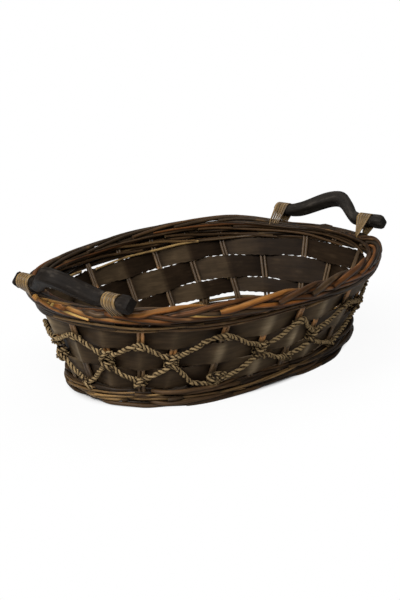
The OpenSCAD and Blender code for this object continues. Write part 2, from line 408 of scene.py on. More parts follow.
class Value:
    """A shader value that can be used in ordinary sums."""

    def __init__(self, sheet: "Sheet", socket: bpy.types.NodeSocket) -> None:
        """Wrap the output socket of a node on a sheet."""
        self.sheet = sheet
        self.socket = socket

    def maths(self, operation: str, left: "Value | float", right: "Value | float") -> "Value":
        """Return a Math node's result as a value."""
        return self.sheet.node("ShaderNodeMath", {"operation": operation}, {0: left, 1: right})

    def __add__(self, other: "Value | float") -> "Value":
        """Return the sum."""
        return self.maths("ADD", self, other)

    __radd__ = __add__

    def __sub__(self, other: "Value | float") -> "Value":
        """Return the difference."""
        return self.maths("SUBTRACT", self, other)

    def __rsub__(self, other: float) -> "Value":
        """Return a number less this value."""
        return self.maths("SUBTRACT", other, self)

    def __mul__(self, other: "Value | float") -> "Value":
        """Return the product."""
        return self.maths("MULTIPLY", self, other)

    __rmul__ = __mul__

    def __pow__(self, other: float) -> "Value":
        """Return the value to a power."""
        return self.maths("POWER", self, other)

    def __rpow__(self, other: float) -> "Value":
        """Return a number to the power of this value."""
        return self.maths("POWER", other, self)


class Sheet:
    """A sheet of shader nodes."""

    def __init__(self, tree: bpy.types.NodeTree) -> None:
        """Clear a node tree and take it over."""
        self.tree = tree
        self.tree.nodes.clear()

    def node(self, kind: str, settings: dict, inputs: dict, output: int | str = 0) -> Value:
        """Add any node.

        Args:
            kind: the node's type.
            settings: what is set on the node first, with a ramp's stops as "stops".
            inputs: values or links, by socket name or number.
            output: the output to return.

        Returns:
            The output as a value.
        """
        made = self.tree.nodes.new(kind)
        for key, value in settings.items():
            if key == "stops":
                self.set_stops(made, value)
            else:
                setattr(made, key, value)
        for key, value in inputs.items():
            if isinstance(value, Value):
                self.tree.links.new(value.socket, made.inputs[key])
            else:
                made.inputs[key].default_value = value
        return Value(self, made.outputs[output] if made.outputs else None)

    @staticmethod
    def set_stops(ramp: bpy.types.Node, stops: Stops) -> None:
        """Set a colour ramp's stops."""
        elements = ramp.color_ramp.elements
        while len(elements) < len(stops):
            elements.new(0.5)
        for element, (place, colour) in zip(elements, stops):
            element.position = place
            element.color = (*colour, 1.0)

    def lay(self, along: float, across: float) -> Value:
        """Return the straightened place, scaled along and across the grain, per millimetre."""
        place = self.node("ShaderNodeAttribute", {"attribute_name": Attr.LAY}, {}, "Vector")
        return self.node(
            "ShaderNodeVectorMath", {"operation": "MULTIPLY"}, {0: place, 1: (along, across, across)}
        )

    def attribute(self, name: str) -> Value:
        """Return a plain mesh attribute, 0 to 1."""
        return self.node("ShaderNodeAttribute", {"attribute_name": name}, {}, "Fac")

    def noise(self, place: Value, detail: float = 3.0, rough: float = 0.55) -> Value:
        """Return noise at a place, about 0 to 1."""
        return self.node(
            "ShaderNodeTexNoise", {}, {"Vector": place, "Scale": 1.0, "Detail": detail, "Roughness": rough}
        )

    def ramp(self, value: Value, stops: Stops) -> Value:
        """Return the colour that a ramp gives a value."""
        return self.node("ShaderNodeValToRGB", {"stops": stops}, {"Fac": value})

    def fit(self, value: Value, low: float, high: float, to_low: float = 0.0, to_high: float = 1.0) -> Value:
        """Return the value moved smoothly from one range to another."""
        return self.node(
            "ShaderNodeMapRange", {"interpolation_type": "SMOOTHSTEP"}, {0: value, 1: low, 2: high, 3: to_low, 4: to_high}
        )

    def mix(self, share: "Value | float", low: "Value | Colour", high: "Value | Colour", how: str = "MIX") -> Value:
        """Return a mix of two colours.

        Args:
            share: how much of the second one.
            low: the first colour.
            high: the second colour.
            how: the way of mixing them.

        Returns:
            The mixed colour.
        """
        low, high = (c if isinstance(c, Value) else (*c, 1.0) for c in (low, high))
        return self.node("ShaderNodeMix", {"data_type": "RGBA", "blend_type": how}, {0: share, 6: low, 7: high}, 2)

    def bump(self, height: Value, strength: float, distance: float) -> Value:
        """Return a normal bumped by a height, with the distance in millimetres."""
        return self.node(
            "ShaderNodeBump", {}, {"Strength": strength, "Distance": distance * MM, "Height": height}, "Normal"
        )

    def shade(self, varying: dict, constant: dict) -> None:
        """Finish the sheet with one Principled shader.

        Args:
            varying: links by socket name.
            constant: plain values by socket name.
        """
        shader = self.node("ShaderNodeBsdfPrincipled", {}, {**constant, **varying})
        self.node("ShaderNodeOutputMaterial", {}, {"Surface": shader})


def material_with(name: str, draw: Callable[[Sheet], None]) -> bpy.types.Material:
    """Return a new material whose sheet is drawn by a method.

    Args:
        name: the material's name.
        draw: puts the nodes on the sheet.

    Returns:
        The material.
    """
    material = bpy.data.materials.new(name)
    material.use_nodes = True
    draw(Sheet(material.node_tree))
    return material


@dataclass(frozen=True)
class Finish:
    """A finish, made once and shared by the pieces that have it."""

    name: str

    def material(self) -> bpy.types.Material:
        """Return the finish's material, making it the first time."""
        return bpy.data.materials.get(self.name) or material_with(self.name, self.draw)

    def draw(self, sheet: Sheet) -> None:
        """Lay out the material's nodes."""
        raise NotImplementedError


@dataclass(frozen=True)
class WoodFinish(Finish):
    """Stained wood with grain along the piece: chips, rods, cane and bars."""

    shades: Stops
    worn: Colour
    cut: Colour
    grain: float = 1.0
    streak: float = 0.02
    patch: float = 0.05
    contrast: float = 0.9
    worn_from: float = 0.62
    worn_share: float = 0.3
    rough: float = 0.5
    coat: float = 0.0
    shine: float = 0.35
    relief: float = 0.25

    def draw(self, sheet: Sheet) -> None:
        """Lay out streaks, patches, wear, cut ends, painted shade where rods touch and a fine relief."""
        streaks = sheet.noise(sheet.lay(self.streak, self.grain), 5.0, 0.6)
        fine = sheet.noise(sheet.lay(self.streak * 3, self.grain * 3.2), 3.0, 0.6)
        patches = sheet.noise(sheet.lay(self.patch, self.patch * 1.6), 2.0, 0.5)
        stained = sheet.ramp(sheet.attribute(Attr.TONE_AND_LIGHT), self.shades)
        light = (streaks - 0.5) * 2.2 + (fine - 0.5) * 0.9 + (patches - 0.5) * 1.6
        # Painted shade: darken the colour where another rod lies close; wear is kept out of that shade below.
        factor = 2.0 ** (light * self.contrast) * (sheet.attribute(Attr.CREVICE_LIGHT) * 0.86 + 0.14)
        shaded = sheet.node(
            "ShaderNodeVectorMath", {"operation": "SCALE"}, {0: stained, "Scale": factor}
        )
        wear = sheet.fit(patches * 0.7 + streaks * 0.3, self.worn_from, self.worn_from + 0.12, 0.0, self.worn_share)
        wear = wear * sheet.attribute(Attr.CREVICE_LIGHT)
        colour = sheet.mix(sheet.attribute(Attr.CUT), sheet.mix(wear, shaded, self.worn), self.cut)
        sheet.shade(
            {
                "Base Color": colour,
                "Roughness": fine * 0.25 + (self.rough - 0.12),
                "Normal": sheet.bump(streaks * 0.6 + fine * 0.5, self.relief, 0.25),
            },
            {"Coat Weight": self.coat, "Coat Roughness": 0.3, "Specular IOR Level": self.shine},
        )


@dataclass(frozen=True)
class CordFinish(Finish):
    """Twisted seagrass, dull, with pale fibres over dark ones."""

    dark: Colour
    middle: Colour
    light: Colour

    def draw(self, sheet: Sheet) -> None:
        """Lay out fibres along each strand of the cord, with painted shade on each strand's inner side and where cords
        touch.
        """
        fibres = sheet.noise(sheet.lay(0.12, 2.4), 4.0, 0.65)
        patches = sheet.noise(sheet.lay(0.17, 0.2), 2.0, 0.5)
        # Painted shade: the tone attribute darkens each strand's side towards the rope's middle, and the next line
        # darkens where cords touch.
        level = fibres * 0.7 + (patches * 1.1 - 0.38) + sheet.attribute(Attr.TONE_AND_LIGHT) * 0.45 - 0.35
        level = level + (sheet.attribute(Attr.CREVICE_LIGHT) - 0.55) * 0.7
        sheet.shade(
            {
                "Base Color": sheet.ramp(level, [(0.18, self.dark), (0.48, self.middle), (0.8, self.light)]),
                "Roughness": fibres * 0.2 + 0.6,
                "Normal": sheet.bump(fibres, 0.6, 0.3),
            },
            {"Specular IOR Level": 0.12},
        )


CHIP = WoodFinish(
    "stained_chip",
    shades=[
        (0.0, (0.007, 0.004, 0.0022)), (0.35, (0.024, 0.0145, 0.0078)), (0.6, (0.06, 0.04, 0.022)),
        (1.0, (0.2, 0.15, 0.09)),
    ],
    worn=(0.11, 0.078, 0.044), cut=(0.07, 0.05, 0.03), grain=0.34, streak=0.035, patch=0.05,
    contrast=0.85, worn_from=0.58, worn_share=0.12, rough=0.5, shine=0.06, relief=0.5,
)
ROD = WoodFinish(
    "brown_rod",
    shades=[(0.0, (0.02, 0.012, 0.006)), (0.5, (0.058, 0.031, 0.013)), (1.0, (0.19, 0.112, 0.042))],
    worn=(0.22, 0.14, 0.06), cut=(0.2, 0.14, 0.07), grain=0.7, streak=0.02, contrast=1.2, worn_from=0.57,
    worn_share=0.4, rough=0.46, shine=0.12,
)
STAKE = WoodFinish(
    "stake_rod",
    shades=[(0.0, (0.04, 0.023, 0.011)), (0.6, (0.12, 0.072, 0.033)), (1.0, (0.32, 0.15, 0.05))],
    worn=(0.17, 0.11, 0.05), cut=(0.2, 0.15, 0.09), grain=0.8, streak=0.03, contrast=1.1, worn_share=0.3,
    rough=0.42, coat=0.1,
)
PEELED = WoodFinish(
    "peeled_rod",
    shades=[(0.0, (0.07, 0.042, 0.018)), (1.0, (0.36, 0.23, 0.085))],
    worn=(0.07, 0.04, 0.02), cut=(0.4, 0.3, 0.18), grain=0.8, streak=0.03, worn_from=0.5, worn_share=0.8,
    rough=0.42, coat=0.1,
)
BORDER = WoodFinish(
    "border_rod",
    shades=[
        (0.0, (0.03, 0.02, 0.0115)), (0.25, (0.055, 0.031, 0.014)), (0.42, (0.06, 0.024, 0.008)),
        (0.62, (0.16, 0.054, 0.0105)), (0.8, (0.25, 0.115, 0.03)), (1.0, (0.44, 0.28, 0.08)),
    ],
    worn=(0.36, 0.19, 0.07), cut=(0.05, 0.03, 0.017), grain=0.4, streak=0.014, patch=0.04,
    contrast=1.55, worn_from=0.56, worn_share=0.34, rough=0.42, shine=0.12,
)
HANDLE = WoodFinish(
    "charred_bar",
    shades=[(0.0, (0.007, 0.0048, 0.0034)), (1.0, (0.0175, 0.0145, 0.0115))],
    worn=(0.06, 0.05, 0.04), cut=(0.006, 0.005, 0.0042), grain=0.45, streak=0.06, patch=0.11,
    contrast=1.1, worn_from=0.54, worn_share=0.34, rough=0.58, shine=0.07, relief=0.6,
)
CANE = WoodFinish(
    "split_cane",
    shades=[(0.0, (0.035, 0.018, 0.006)), (1.0, (0.26, 0.16, 0.055))],
    worn=(0.4, 0.28, 0.12), cut=(0.4, 0.3, 0.18), grain=1.2, streak=0.05, contrast=1.2, worn_share=0.4,
    rough=0.42, coat=0.06,
)
CORD = CordFinish("seagrass_cord", (0.006, 0.0038, 0.002), (0.068, 0.042, 0.018), (0.24, 0.166, 0.08))


@dataclass(frozen=True)
class Knock:
    """A place where the edge between two splints drifted up or down."""

    station: float
    edge: int
    lift: float
    spread: float = 1.0

    def at(self, i: float) -> float:
        """Return the drift at stake number i."""
        return self.lift * math.exp(-((WALL.nearness(i, self.station) / self.spread) ** 2))


@dataclass
class Splints:
    """The three chip splints of the wall, flat from stake to stake."""

    thick: float = 1.0
    reach: float = 3.0
    bend: float = 0.08
    edges: tuple[float, ...] = (18.0, 39.15, 61.25, 82.6)
    seam: float = 0.2
    rows: int = 14
    knocks: tuple[Knock, ...] = (
        Knock(15.2, 0, 4.6, 1.7), Knock(18.0, 1, -4.6), Knock(13.0, 1, -5.0), Knock(15.5, 1, 1.0),
        Knock(15.5, 2, 4.2), Knock(13.6, 2, 2.4), Knock(15.5, 3, 3.0), Knock(18.2, 3, -2.6), Knock(19.5, 3, -2.0),
    )
    shares: tuple[float, ...] = (
        0.0, 0.02, 0.04, 0.06, 0.08, 0.12, 0.2, 0.28, 0.36, 0.44, 0.5, 0.56, 0.64, 0.72, 0.8, 0.88, 0.92, 0.94, 0.96, 0.98,
    )

    def edge(self, number: int, i: float) -> float:
        """Return the height of an edge between splints at stake number i."""
        frayed = 0.4 * math.sin(31 * i + 2 * number) + 0.25 * math.sin(73 * i + number)
        return self.edges[number] + frayed + sum(k.at(i) for k in self.knocks if k.edge == number)

    def build(self) -> None:
        """Build each splint as its own piece."""
        for row in Row:
            self.splint(row)

    def splint(self, row: Row) -> None:
        """Build one splint with a lap at its ends.

        Args:
            row: which splint.
        """
        rng = random.Random(row.value + 5)
        name = f"splint_{row.name.lower()}"
        maker = Maker(name + "_chip")
        phase = 1 if row is Row.MIDDLE else -1
        tilts = [[rng.uniform(-0.7, 0.7) for _ in range(WALL.stakes)] for _ in range(2)]
        laps = [[rng.uniform(0.0, 0.8) for _ in range(WALL.stakes)] for _ in range(2)]
        # Strength of the painted highlight, partly wear, on each outer bulge.
        wear_and_sheen = [0.5, 0.35, 0.2, 0.25, 1.0, 0.9, 1.0, 0.8, 0.6, *(rng.uniform(0.3, 0.9) for _ in range(WALL.stakes - 9))]
        cups = [rng.uniform(0.1, 0.8) for _ in range(WALL.stakes)]
        start = (7, 21, 3)[row.value]
        bays = WALL.stakes + 1
        rings, lays, tones, run, last = [], [], [], 0.0, None
        for bay in range(bays):
            for share in (*self.shares, *((1.0,) if bay == bays - 1 else ())):
                i = start + bay + share
                creep = ((bay + share) / bays - 0.5) * 1.3
                ring, lay, tone = [], [], []
                here = WALL.point(i, self.edges[row.value])
                run += (here - last).length if last else 0.0
                last = here
                for face in (1, -1):
                    for m in range(self.rows):
                        up = m / (self.rows - 1)
                        up = 1 - up if face == 1 else up
                        p, z = self.place(i, up, row, phase, (tilts, laps, cups))
                        n = WALL.normal(i)
                        ring.append(p + n * (creep + face * self.thick / 2))
                        lay.append(Vector((run + row.value * 977, z, face * self.thick / 2)))
                        # Outer face: painted shadow below each rope.
                        tone.append(self.shade(i, up, face, phase, wear_and_sheen) - (self.rope_shadow(i, z) if face > 0 else 0))
                rings.append(ring[::-1])
                lays.append(lay[::-1])
                tones.append(tone[::-1])
        maker.skin(rings, lays, 0.5, tones)
        maker.build("chip_wood", [name], CHIP)

    @staticmethod
    def rope_shadow(i: float, z: float) -> float:
        """Return the painted shadow that a rope casts on the splint behind it, darkest just below the rope.

        Args:
            i: stake number.
            z: height of the point.

        Returns:
            What the tone loses.
        """
        net = Net()
        return 0.2 * max(math.exp(-(((z + 1.4 - net.height(which, i)) / 3.0) ** 2)) for which in (0, 1))

    @staticmethod
    def shade(i: float, up: float, face: int, phase: int, wear_and_sheen: Sequence[float]) -> float:
        """Return the tone of a point: a painted highlight, partly wear, on the outer bulges, painted shade in the
        hollows and painted light and shade on alternate inner half bays.

        Args:
            i: stake number.
            up: share of the splint's width, from its lower edge.
            face: 1 on the outer face, -1 on the inner one.
            phase: 1 where the splint passes outside the even stakes.
            wear_and_sheen: how strong the wear and the painted highlight on the bulge at each stake are.

        Returns:
            The tone, 0 to 1.
        """
        nearest = round(i)
        away = abs(i - nearest)
        around = i % WALL.stakes
        outer = 0.42 + 0.18 * ease((around - 3.6) / 1.4) + 0.06 * ease((around - 6) / 2)
        bulge = phase * (1 if nearest % 2 == 0 else -1) * face > 0
        # Painted highlight, partly wear, on the outer bulge.
        if bulge and face > 0:
            bulge_wear_and_sheen = wear_and_sheen[nearest % WALL.stakes] * math.exp(-((away / 0.14) ** 2)) * (1 - 0.5 * (2 * up - 1) ** 2)
            return outer + 0.42 * bulge_wear_and_sheen
        # Painted shade in the hollow beside a stake.
        hollow_shade = 0.24 * math.exp(-((away / 0.26) ** 2))
        if face > 0:
            return outer - hollow_shade
        # Inside, past stake 12: painted light on one half of each bay and painted shade on the other.
        k = math.floor(i)
        turned = 1 if phase * (1 if k % 2 == 0 else -1) < 0 else -1
        lit_or_shaded_half = turned * ease(min(i - k, k + 1 - i) / 0.1) * ease((around - 12.0) / 3.5)
        # Inside, darker towards the right end.
        base = 0.25 + 0.17 * ease((around - 13) / 4)
        return base + 0.16 * lit_or_shaded_half - (0.0 if bulge else hollow_shade * 0.6)

    def place(self, i: float, up: float, row: Row, phase: int, ways: tuple) -> tuple[Vector, float]:
        """Return a point of the splint's middle layer, and its height.

        Args:
            i: stake number.
            up: share of the splint's width, from its lower edge.
            row: which splint.
            phase: 1 where the splint passes outside the even stakes.
            ways: per stake, the tilt and the lap of both edges, and the cup.

        Returns:
            The point and the height in millimetres.
        """
        tilts, laps, cups = ways
        nearest = round(i)
        k = nearest % WALL.stakes
        from_stake = abs(i - nearest)
        lap = max(0.0, 1 - (from_stake / 0.36) ** 2)
        low = self.edge(row.value, i) + self.seam - (laps[0][k] * lap if row is not Row.BOTTOM else 0)
        high = self.edge(row.value + 1, i) - self.seam + (laps[1][k] * lap if row is not Row.TOP else 0)
        z = blend(low, high, up)

        def corner(number: int) -> Vector:
            """Return where the splint would turn sharply at a stake."""
            side = phase * (1 if number % 2 == 0 else -1)
            tilt = blend(tilts[0][number % WALL.stakes], tilts[1][number % WALL.stakes], up)
            cup = cups[number % WALL.stakes] * (1 - (2 * up - 1) ** 2) * side
            return WALL.point(number, z, side * self.reach + tilt * 0.5 + cup)

        if from_stake >= self.bend:
            a = math.floor(i)
            return corner(a).lerp(corner(a + 1), i - a), z
        here, before, after = corner(nearest), corner(nearest - 1), corner(nearest + 1)
        t = (i - nearest + self.bend) / (2 * self.bend)
        first, second = here.lerp(before, self.bend), here.lerp(after, self.bend)
        return first.lerp(here, t).lerp(here.lerp(second, t), t), z


@dataclass
class Stakes:
    """The pairs of thin rods that the wall is woven on."""

    radius: float = 1.75
    gap: float = 0.1

    def build(self) -> None:
        """Build each pair as its own piece."""
        for i in range(WALL.stakes):
            rng = random.Random(i + 40)
            maker = Maker(f"stake_{i + 1}_rods")
            normal, aside = WALL.normal(i), WALL.aside(i)
            for side in (-1, 1):
                bow = rng.uniform(-0.35, 0.35)
                thick = self.radius * rng.uniform(0.92, 1.05)
                top = WALL.border_bottom + 2.5
                heights = [1.7, 9.0, 15.0, 18.0, 21.0, *(blend(21.0, top, s / 10) for s in range(1, 11))]
                path = [
                    WALL.point(i, z, 0) + aside * side * (self.radius + self.gap / 2 + bow * math.sin(math.pi * z / top))
                    for z in heights
                ]
                begin = len(maker.tones)
                maker.tube(
                    path, lambda s, r=thick: r * (1.03 - 0.1 * s), lambda j: normal,
                    rng.uniform(0.1, 0.5), rng.uniform(0, 99), 10,
                )
                for n in range(begin, len(maker.tones)):
                    z = maker.points[n].z
                    maker.tones[n] += 0.9 * (bump(z, 76, 9) if i % 2 == 0 else bump(z, 58, 8))
            maker.build("willow_rod", [f"stake_pair_{i + 1}"], STAKE)


@dataclass(frozen=True)
class Weaver:
    """A rod that runs along the wall, over and under the stakes."""

    begin: float
    end: float
    z: float
    shift: int
    reach: float = 3.6
    radius: float = 1.7
    tone: float = 0.5
    rise: float = 0.0
    drift: float = 0.35

    def side(self, k: int) -> int:
        """Return 1 where the rod passes outside stake k: two of every three."""
        return 1 if (k + self.shift) % 3 else -1

    def lay_on(self, maker: Maker, seed: float, steps: int = 12) -> None:
        """Add the rod to a piece.

        Args:
            maker: the piece that it belongs to.
            seed: makes its wander and its grain its own.
            steps: points in each bay.
        """
        count = int((self.end - self.begin) * steps)
        path = []
        for j in range(count + 1):
            i = blend(self.begin, self.end, j / count)
            k = math.floor(i)
            out = self.reach * blend(self.side(k), self.side(k + 1), ease(i - k))
            if self.z < WALL.foot_h:
                left = (i + 0.6 + WALL.stakes / 2) % WALL.stakes - WALL.stakes / 2
                out += 4.0 * bump(i, 8.7, 2.2) + 1.8 * bump(i, 10.4, 1.6) + 4.4 * bump(i, 3.2, 1.7) - 2.6 * bump(i, 6.0, 1.5) - 1.6 * bump(left, 0, 1.3)
            lift = self.drift * math.sin(i * 1.9 + seed) + self.rise * j / count
            path.append(WALL.point(i, self.z + lift, out))
        maker.tube(path, lambda s: self.radius * (1.02 - 0.16 * s), lambda j: UP, self.tone, seed, 10)


@dataclass
class Waling:
    """Rows of rods woven round the stakes at the foot and under the border."""

    thick: float = 3.4
    pitch: float = 3.45
    foot_rows: int = 5

    def build(self) -> None:
        """Build the rows at the foot, then those under the border."""
        makers = [self.foot(k) for k in range(self.foot_rows)]
        self.fill(makers[0])
        self.stray(makers[2])
        # Paint shade where the foot rods touch.
        CreviceShade(makers).darken(1.1, 4.2)
        for k, maker in enumerate(makers):
            maker.build("willow_rod", [f"foot_wale_{k + 1}"], ROD)
        self.under_border()

    @staticmethod
    def fill(maker: Maker) -> None:
        """Add the dark rods that close the foot between its rows and the floor.

        Args:
            maker: the piece that they belong to.
        """
        for n in range(4):
            path = [
                WALL.point(
                    1.5 + j / 6, 3.7 + 3.4 * n + 0.4 * math.sin(j * 0.4 + n), 0.4 + 3.0 * bump(1.5 + j / 6, 8.7, 2.2)
                )
                for j in range(56)
            ]
            maker.tube(path, lambda s: 2.0, lambda j: UP, 0.1, 40.0 + n, 8)

    @staticmethod
    def stray(maker: Maker) -> None:
        """Add the thin rods that slant across the outside of the foot.

        Args:
            maker: the piece that they belong to.
        """
        rng = random.Random(71)
        for n in range(16):
            begin = n * 1.5 - 1.2
            low, high = rng.choice(((5.0, 12.5), (13.5, 6.0), (8.0, 15.0), (11.0, 4.5)))
            path = [
                WALL.point(begin + j / 8, blend(low, high, j / 24), 4.6 + 0.5 * math.sin(j * 0.4 + n)) for j in range(25)
            ]
            maker.tube(
                path, lambda s: 1.35 * (1.05 - 0.35 * s), lambda j: UP, rng.uniform(0.45, 1.0), rng.uniform(0, 99), 8
            )

    @staticmethod
    def foot(row: int) -> Maker:
        """Lay one row of the foot out of rods that cross each other.

        Args:
            row: which row, from below.

        Returns:
            The piece, not built yet.
        """
        rng = random.Random(60 + row)
        maker = Maker(f"foot_wale_{row + 1}_rods")
        z = 2.1 + row * 3.4
        for begin in range(0, WALL.stakes, 4):
            seed = rng.uniform(0, 99)
            Weaver(
                begin + (row * 1.7) % 4 - 0.4, begin + (row * 1.7) % 4 + 4.5, z, row, 3.2,
                rng.uniform(1.95, 2.15), rng.choice((0.0, 0.15, 0.35, 0.5, 0.7, 0.95)),
                rng.uniform(-1.7, 1.7) if 0 < row < 4 else 0.0, 0.4,
            ).lay_on(maker, seed)
        return maker

    def under_border(self) -> None:
        """Build the rows under the border, two rods to each node, and the loose ones."""
        makers = [Maker(f"top_wale_{k + 1}_rods") for k in range(2)]
        for k, maker in enumerate(makers):
            rng = random.Random(80 + k)
            for layer in range(2 + k):
                number = 2 * k + layer
                for begin in range(0, WALL.stakes, 6):
                    first = begin + number * 1.7 - 0.4
                    Weaver(
                        first, first + 6.8, 84.4 + number * 3.0, number, 2.9, rng.uniform(1.8, 2.0),
                        rng.choice((0.05, 0.1, 0.2, 0.35, 0.5)), rng.uniform(-0.5, 0.5),
                    ).lay_on(maker, rng.uniform(0, 99))
            self.packed(maker, k, rng)
        self.loose(makers[0], rng)
        self.golden(rng)
        self.slanted(makers[1])
        # Paint shade where the rods under the border touch.
        CreviceShade(makers).darken(1.5, 4.0)
        for k, maker in enumerate(makers):
            maker.build("willow_rod", [f"top_wale_{k + 1}"], ROD)

    @staticmethod
    def packed(maker: Maker, half: int, rng: random.Random) -> None:
        """Add the rods that close the wall behind, outside the stakes.

        Args:
            maker: the piece that they belong to.
            half: 0 for the lower ones, 1 for the upper ones.
            rng: source of their grain.
        """
        for n in range(half - 1, 3):
            z = 84.8 + (3 * half + n) * 2.35
            for begin, end in ((9.6 if n >= 0 else 11.4, 15.2), (14.4, 20.3), (19.5, 25.4)):
                count = int((end - begin) * 8)
                turn = rng.uniform(0, 6)
                path = [
                    WALL.point(
                        blend(begin, end, j / count), z + 0.45 * math.sin(j * 0.16 + turn), 4.0 + 0.5 * math.sin(j * 0.11)
                    )
                    for j in range(count + 1)
                ]
                maker.tube(
                    path, lambda s: 1.95 * (1.0 - 0.2 * s), lambda j: UP, rng.choice((0.0, 0.1, 0.2, 0.35)),
                    rng.uniform(0, 99), 9,
                )

    @staticmethod
    def slanted(maker: Maker) -> None:
        """Add the rods that slant down inside the wall at the back right.

        Args:
            maker: the piece that they belong to.
        """
        rng = random.Random(83)
        for begin, end, high, low in (
            (15.6, 11.6, 98.0, 84.6), (14.6, 11.0, 97.0, 88.0), (16.6, 13.6, 95.0, 85.0), (13.2, 10.4, 97.0, 87.0),
            (18.6, 15.8, 96.0, 86.5), (20.6, 17.4, 95.0, 86.0),
        ):
            path = [
                WALL.point(
                    blend(begin, end, j / 40), blend(high, low, j / 40) + 0.5 * math.sin(j * 0.3), -5.4 + math.sin(j * 0.12)
                )
                for j in range(41)
            ]
            maker.tube(
                path, lambda s: 1.75 * (1.05 - 0.3 * s), lambda j: UP, rng.uniform(0.2, 0.8), rng.uniform(0, 99), 9
            )

    @staticmethod
    def golden(rng: random.Random) -> None:
        """Build the pale peeled rods that lie inside, along the top splint's edge.

        Args:
            rng: source of their grain.
        """
        maker = Maker("top_wale_peeled_rods")
        for begin, end, low, high in ((15.7, 18.9, 84.6, 80.6), (13.7, 16.0, 85.3, 84.4), (19.4, 20.6, 83.4, 84.8)):
            count = int((end - begin) * 12)
            path = [
                WALL.point(blend(begin, end, j / count), blend(low, high, j / count) + 0.4 * math.sin(j * 0.3), -5.0)
                for j in range(count + 1)
            ]
            maker.tube(
                path, lambda s: 1.6 * (1.02 - 0.35 * s), lambda j: UP, 0.9 if begin > 15 else 0.0, rng.uniform(0, 99), 10
            )
        maker.build("willow_rod", ["top_wale_1"], PEELED)

    @staticmethod
    def loose(maker: Maker, rng: random.Random) -> None:
        """Add the thin rods that lie loose outside, below the rows.

        Args:
            maker: the piece that it belongs to.
            rng: source of its grain.
        """
        for n, (begin, end) in enumerate(((-1.5, 2.9), (2.5, 6.2), (6.0, 8.9), (8.6, 12.0), (-0.4, 3.6), (3.2, 7.2))):
            count = int((end - begin) * 10)
            path = [
                WALL.point(
                    blend(begin, end, j / count), 82.2 + 1.3 * math.sin(j * 0.19 + begin) + (3.6 if n > 3 else 0),
                    4.1 + 0.4 * math.sin(j * 0.13) + (0.8 if n > 3 else 0),
                )
                for j in range(count + 1)
            ]
            maker.tube(path, lambda s: 1.4 * (1.05 - 0.4 * s), lambda j: UP, rng.uniform(0.2, 0.85), rng.uniform(0, 99), 9)


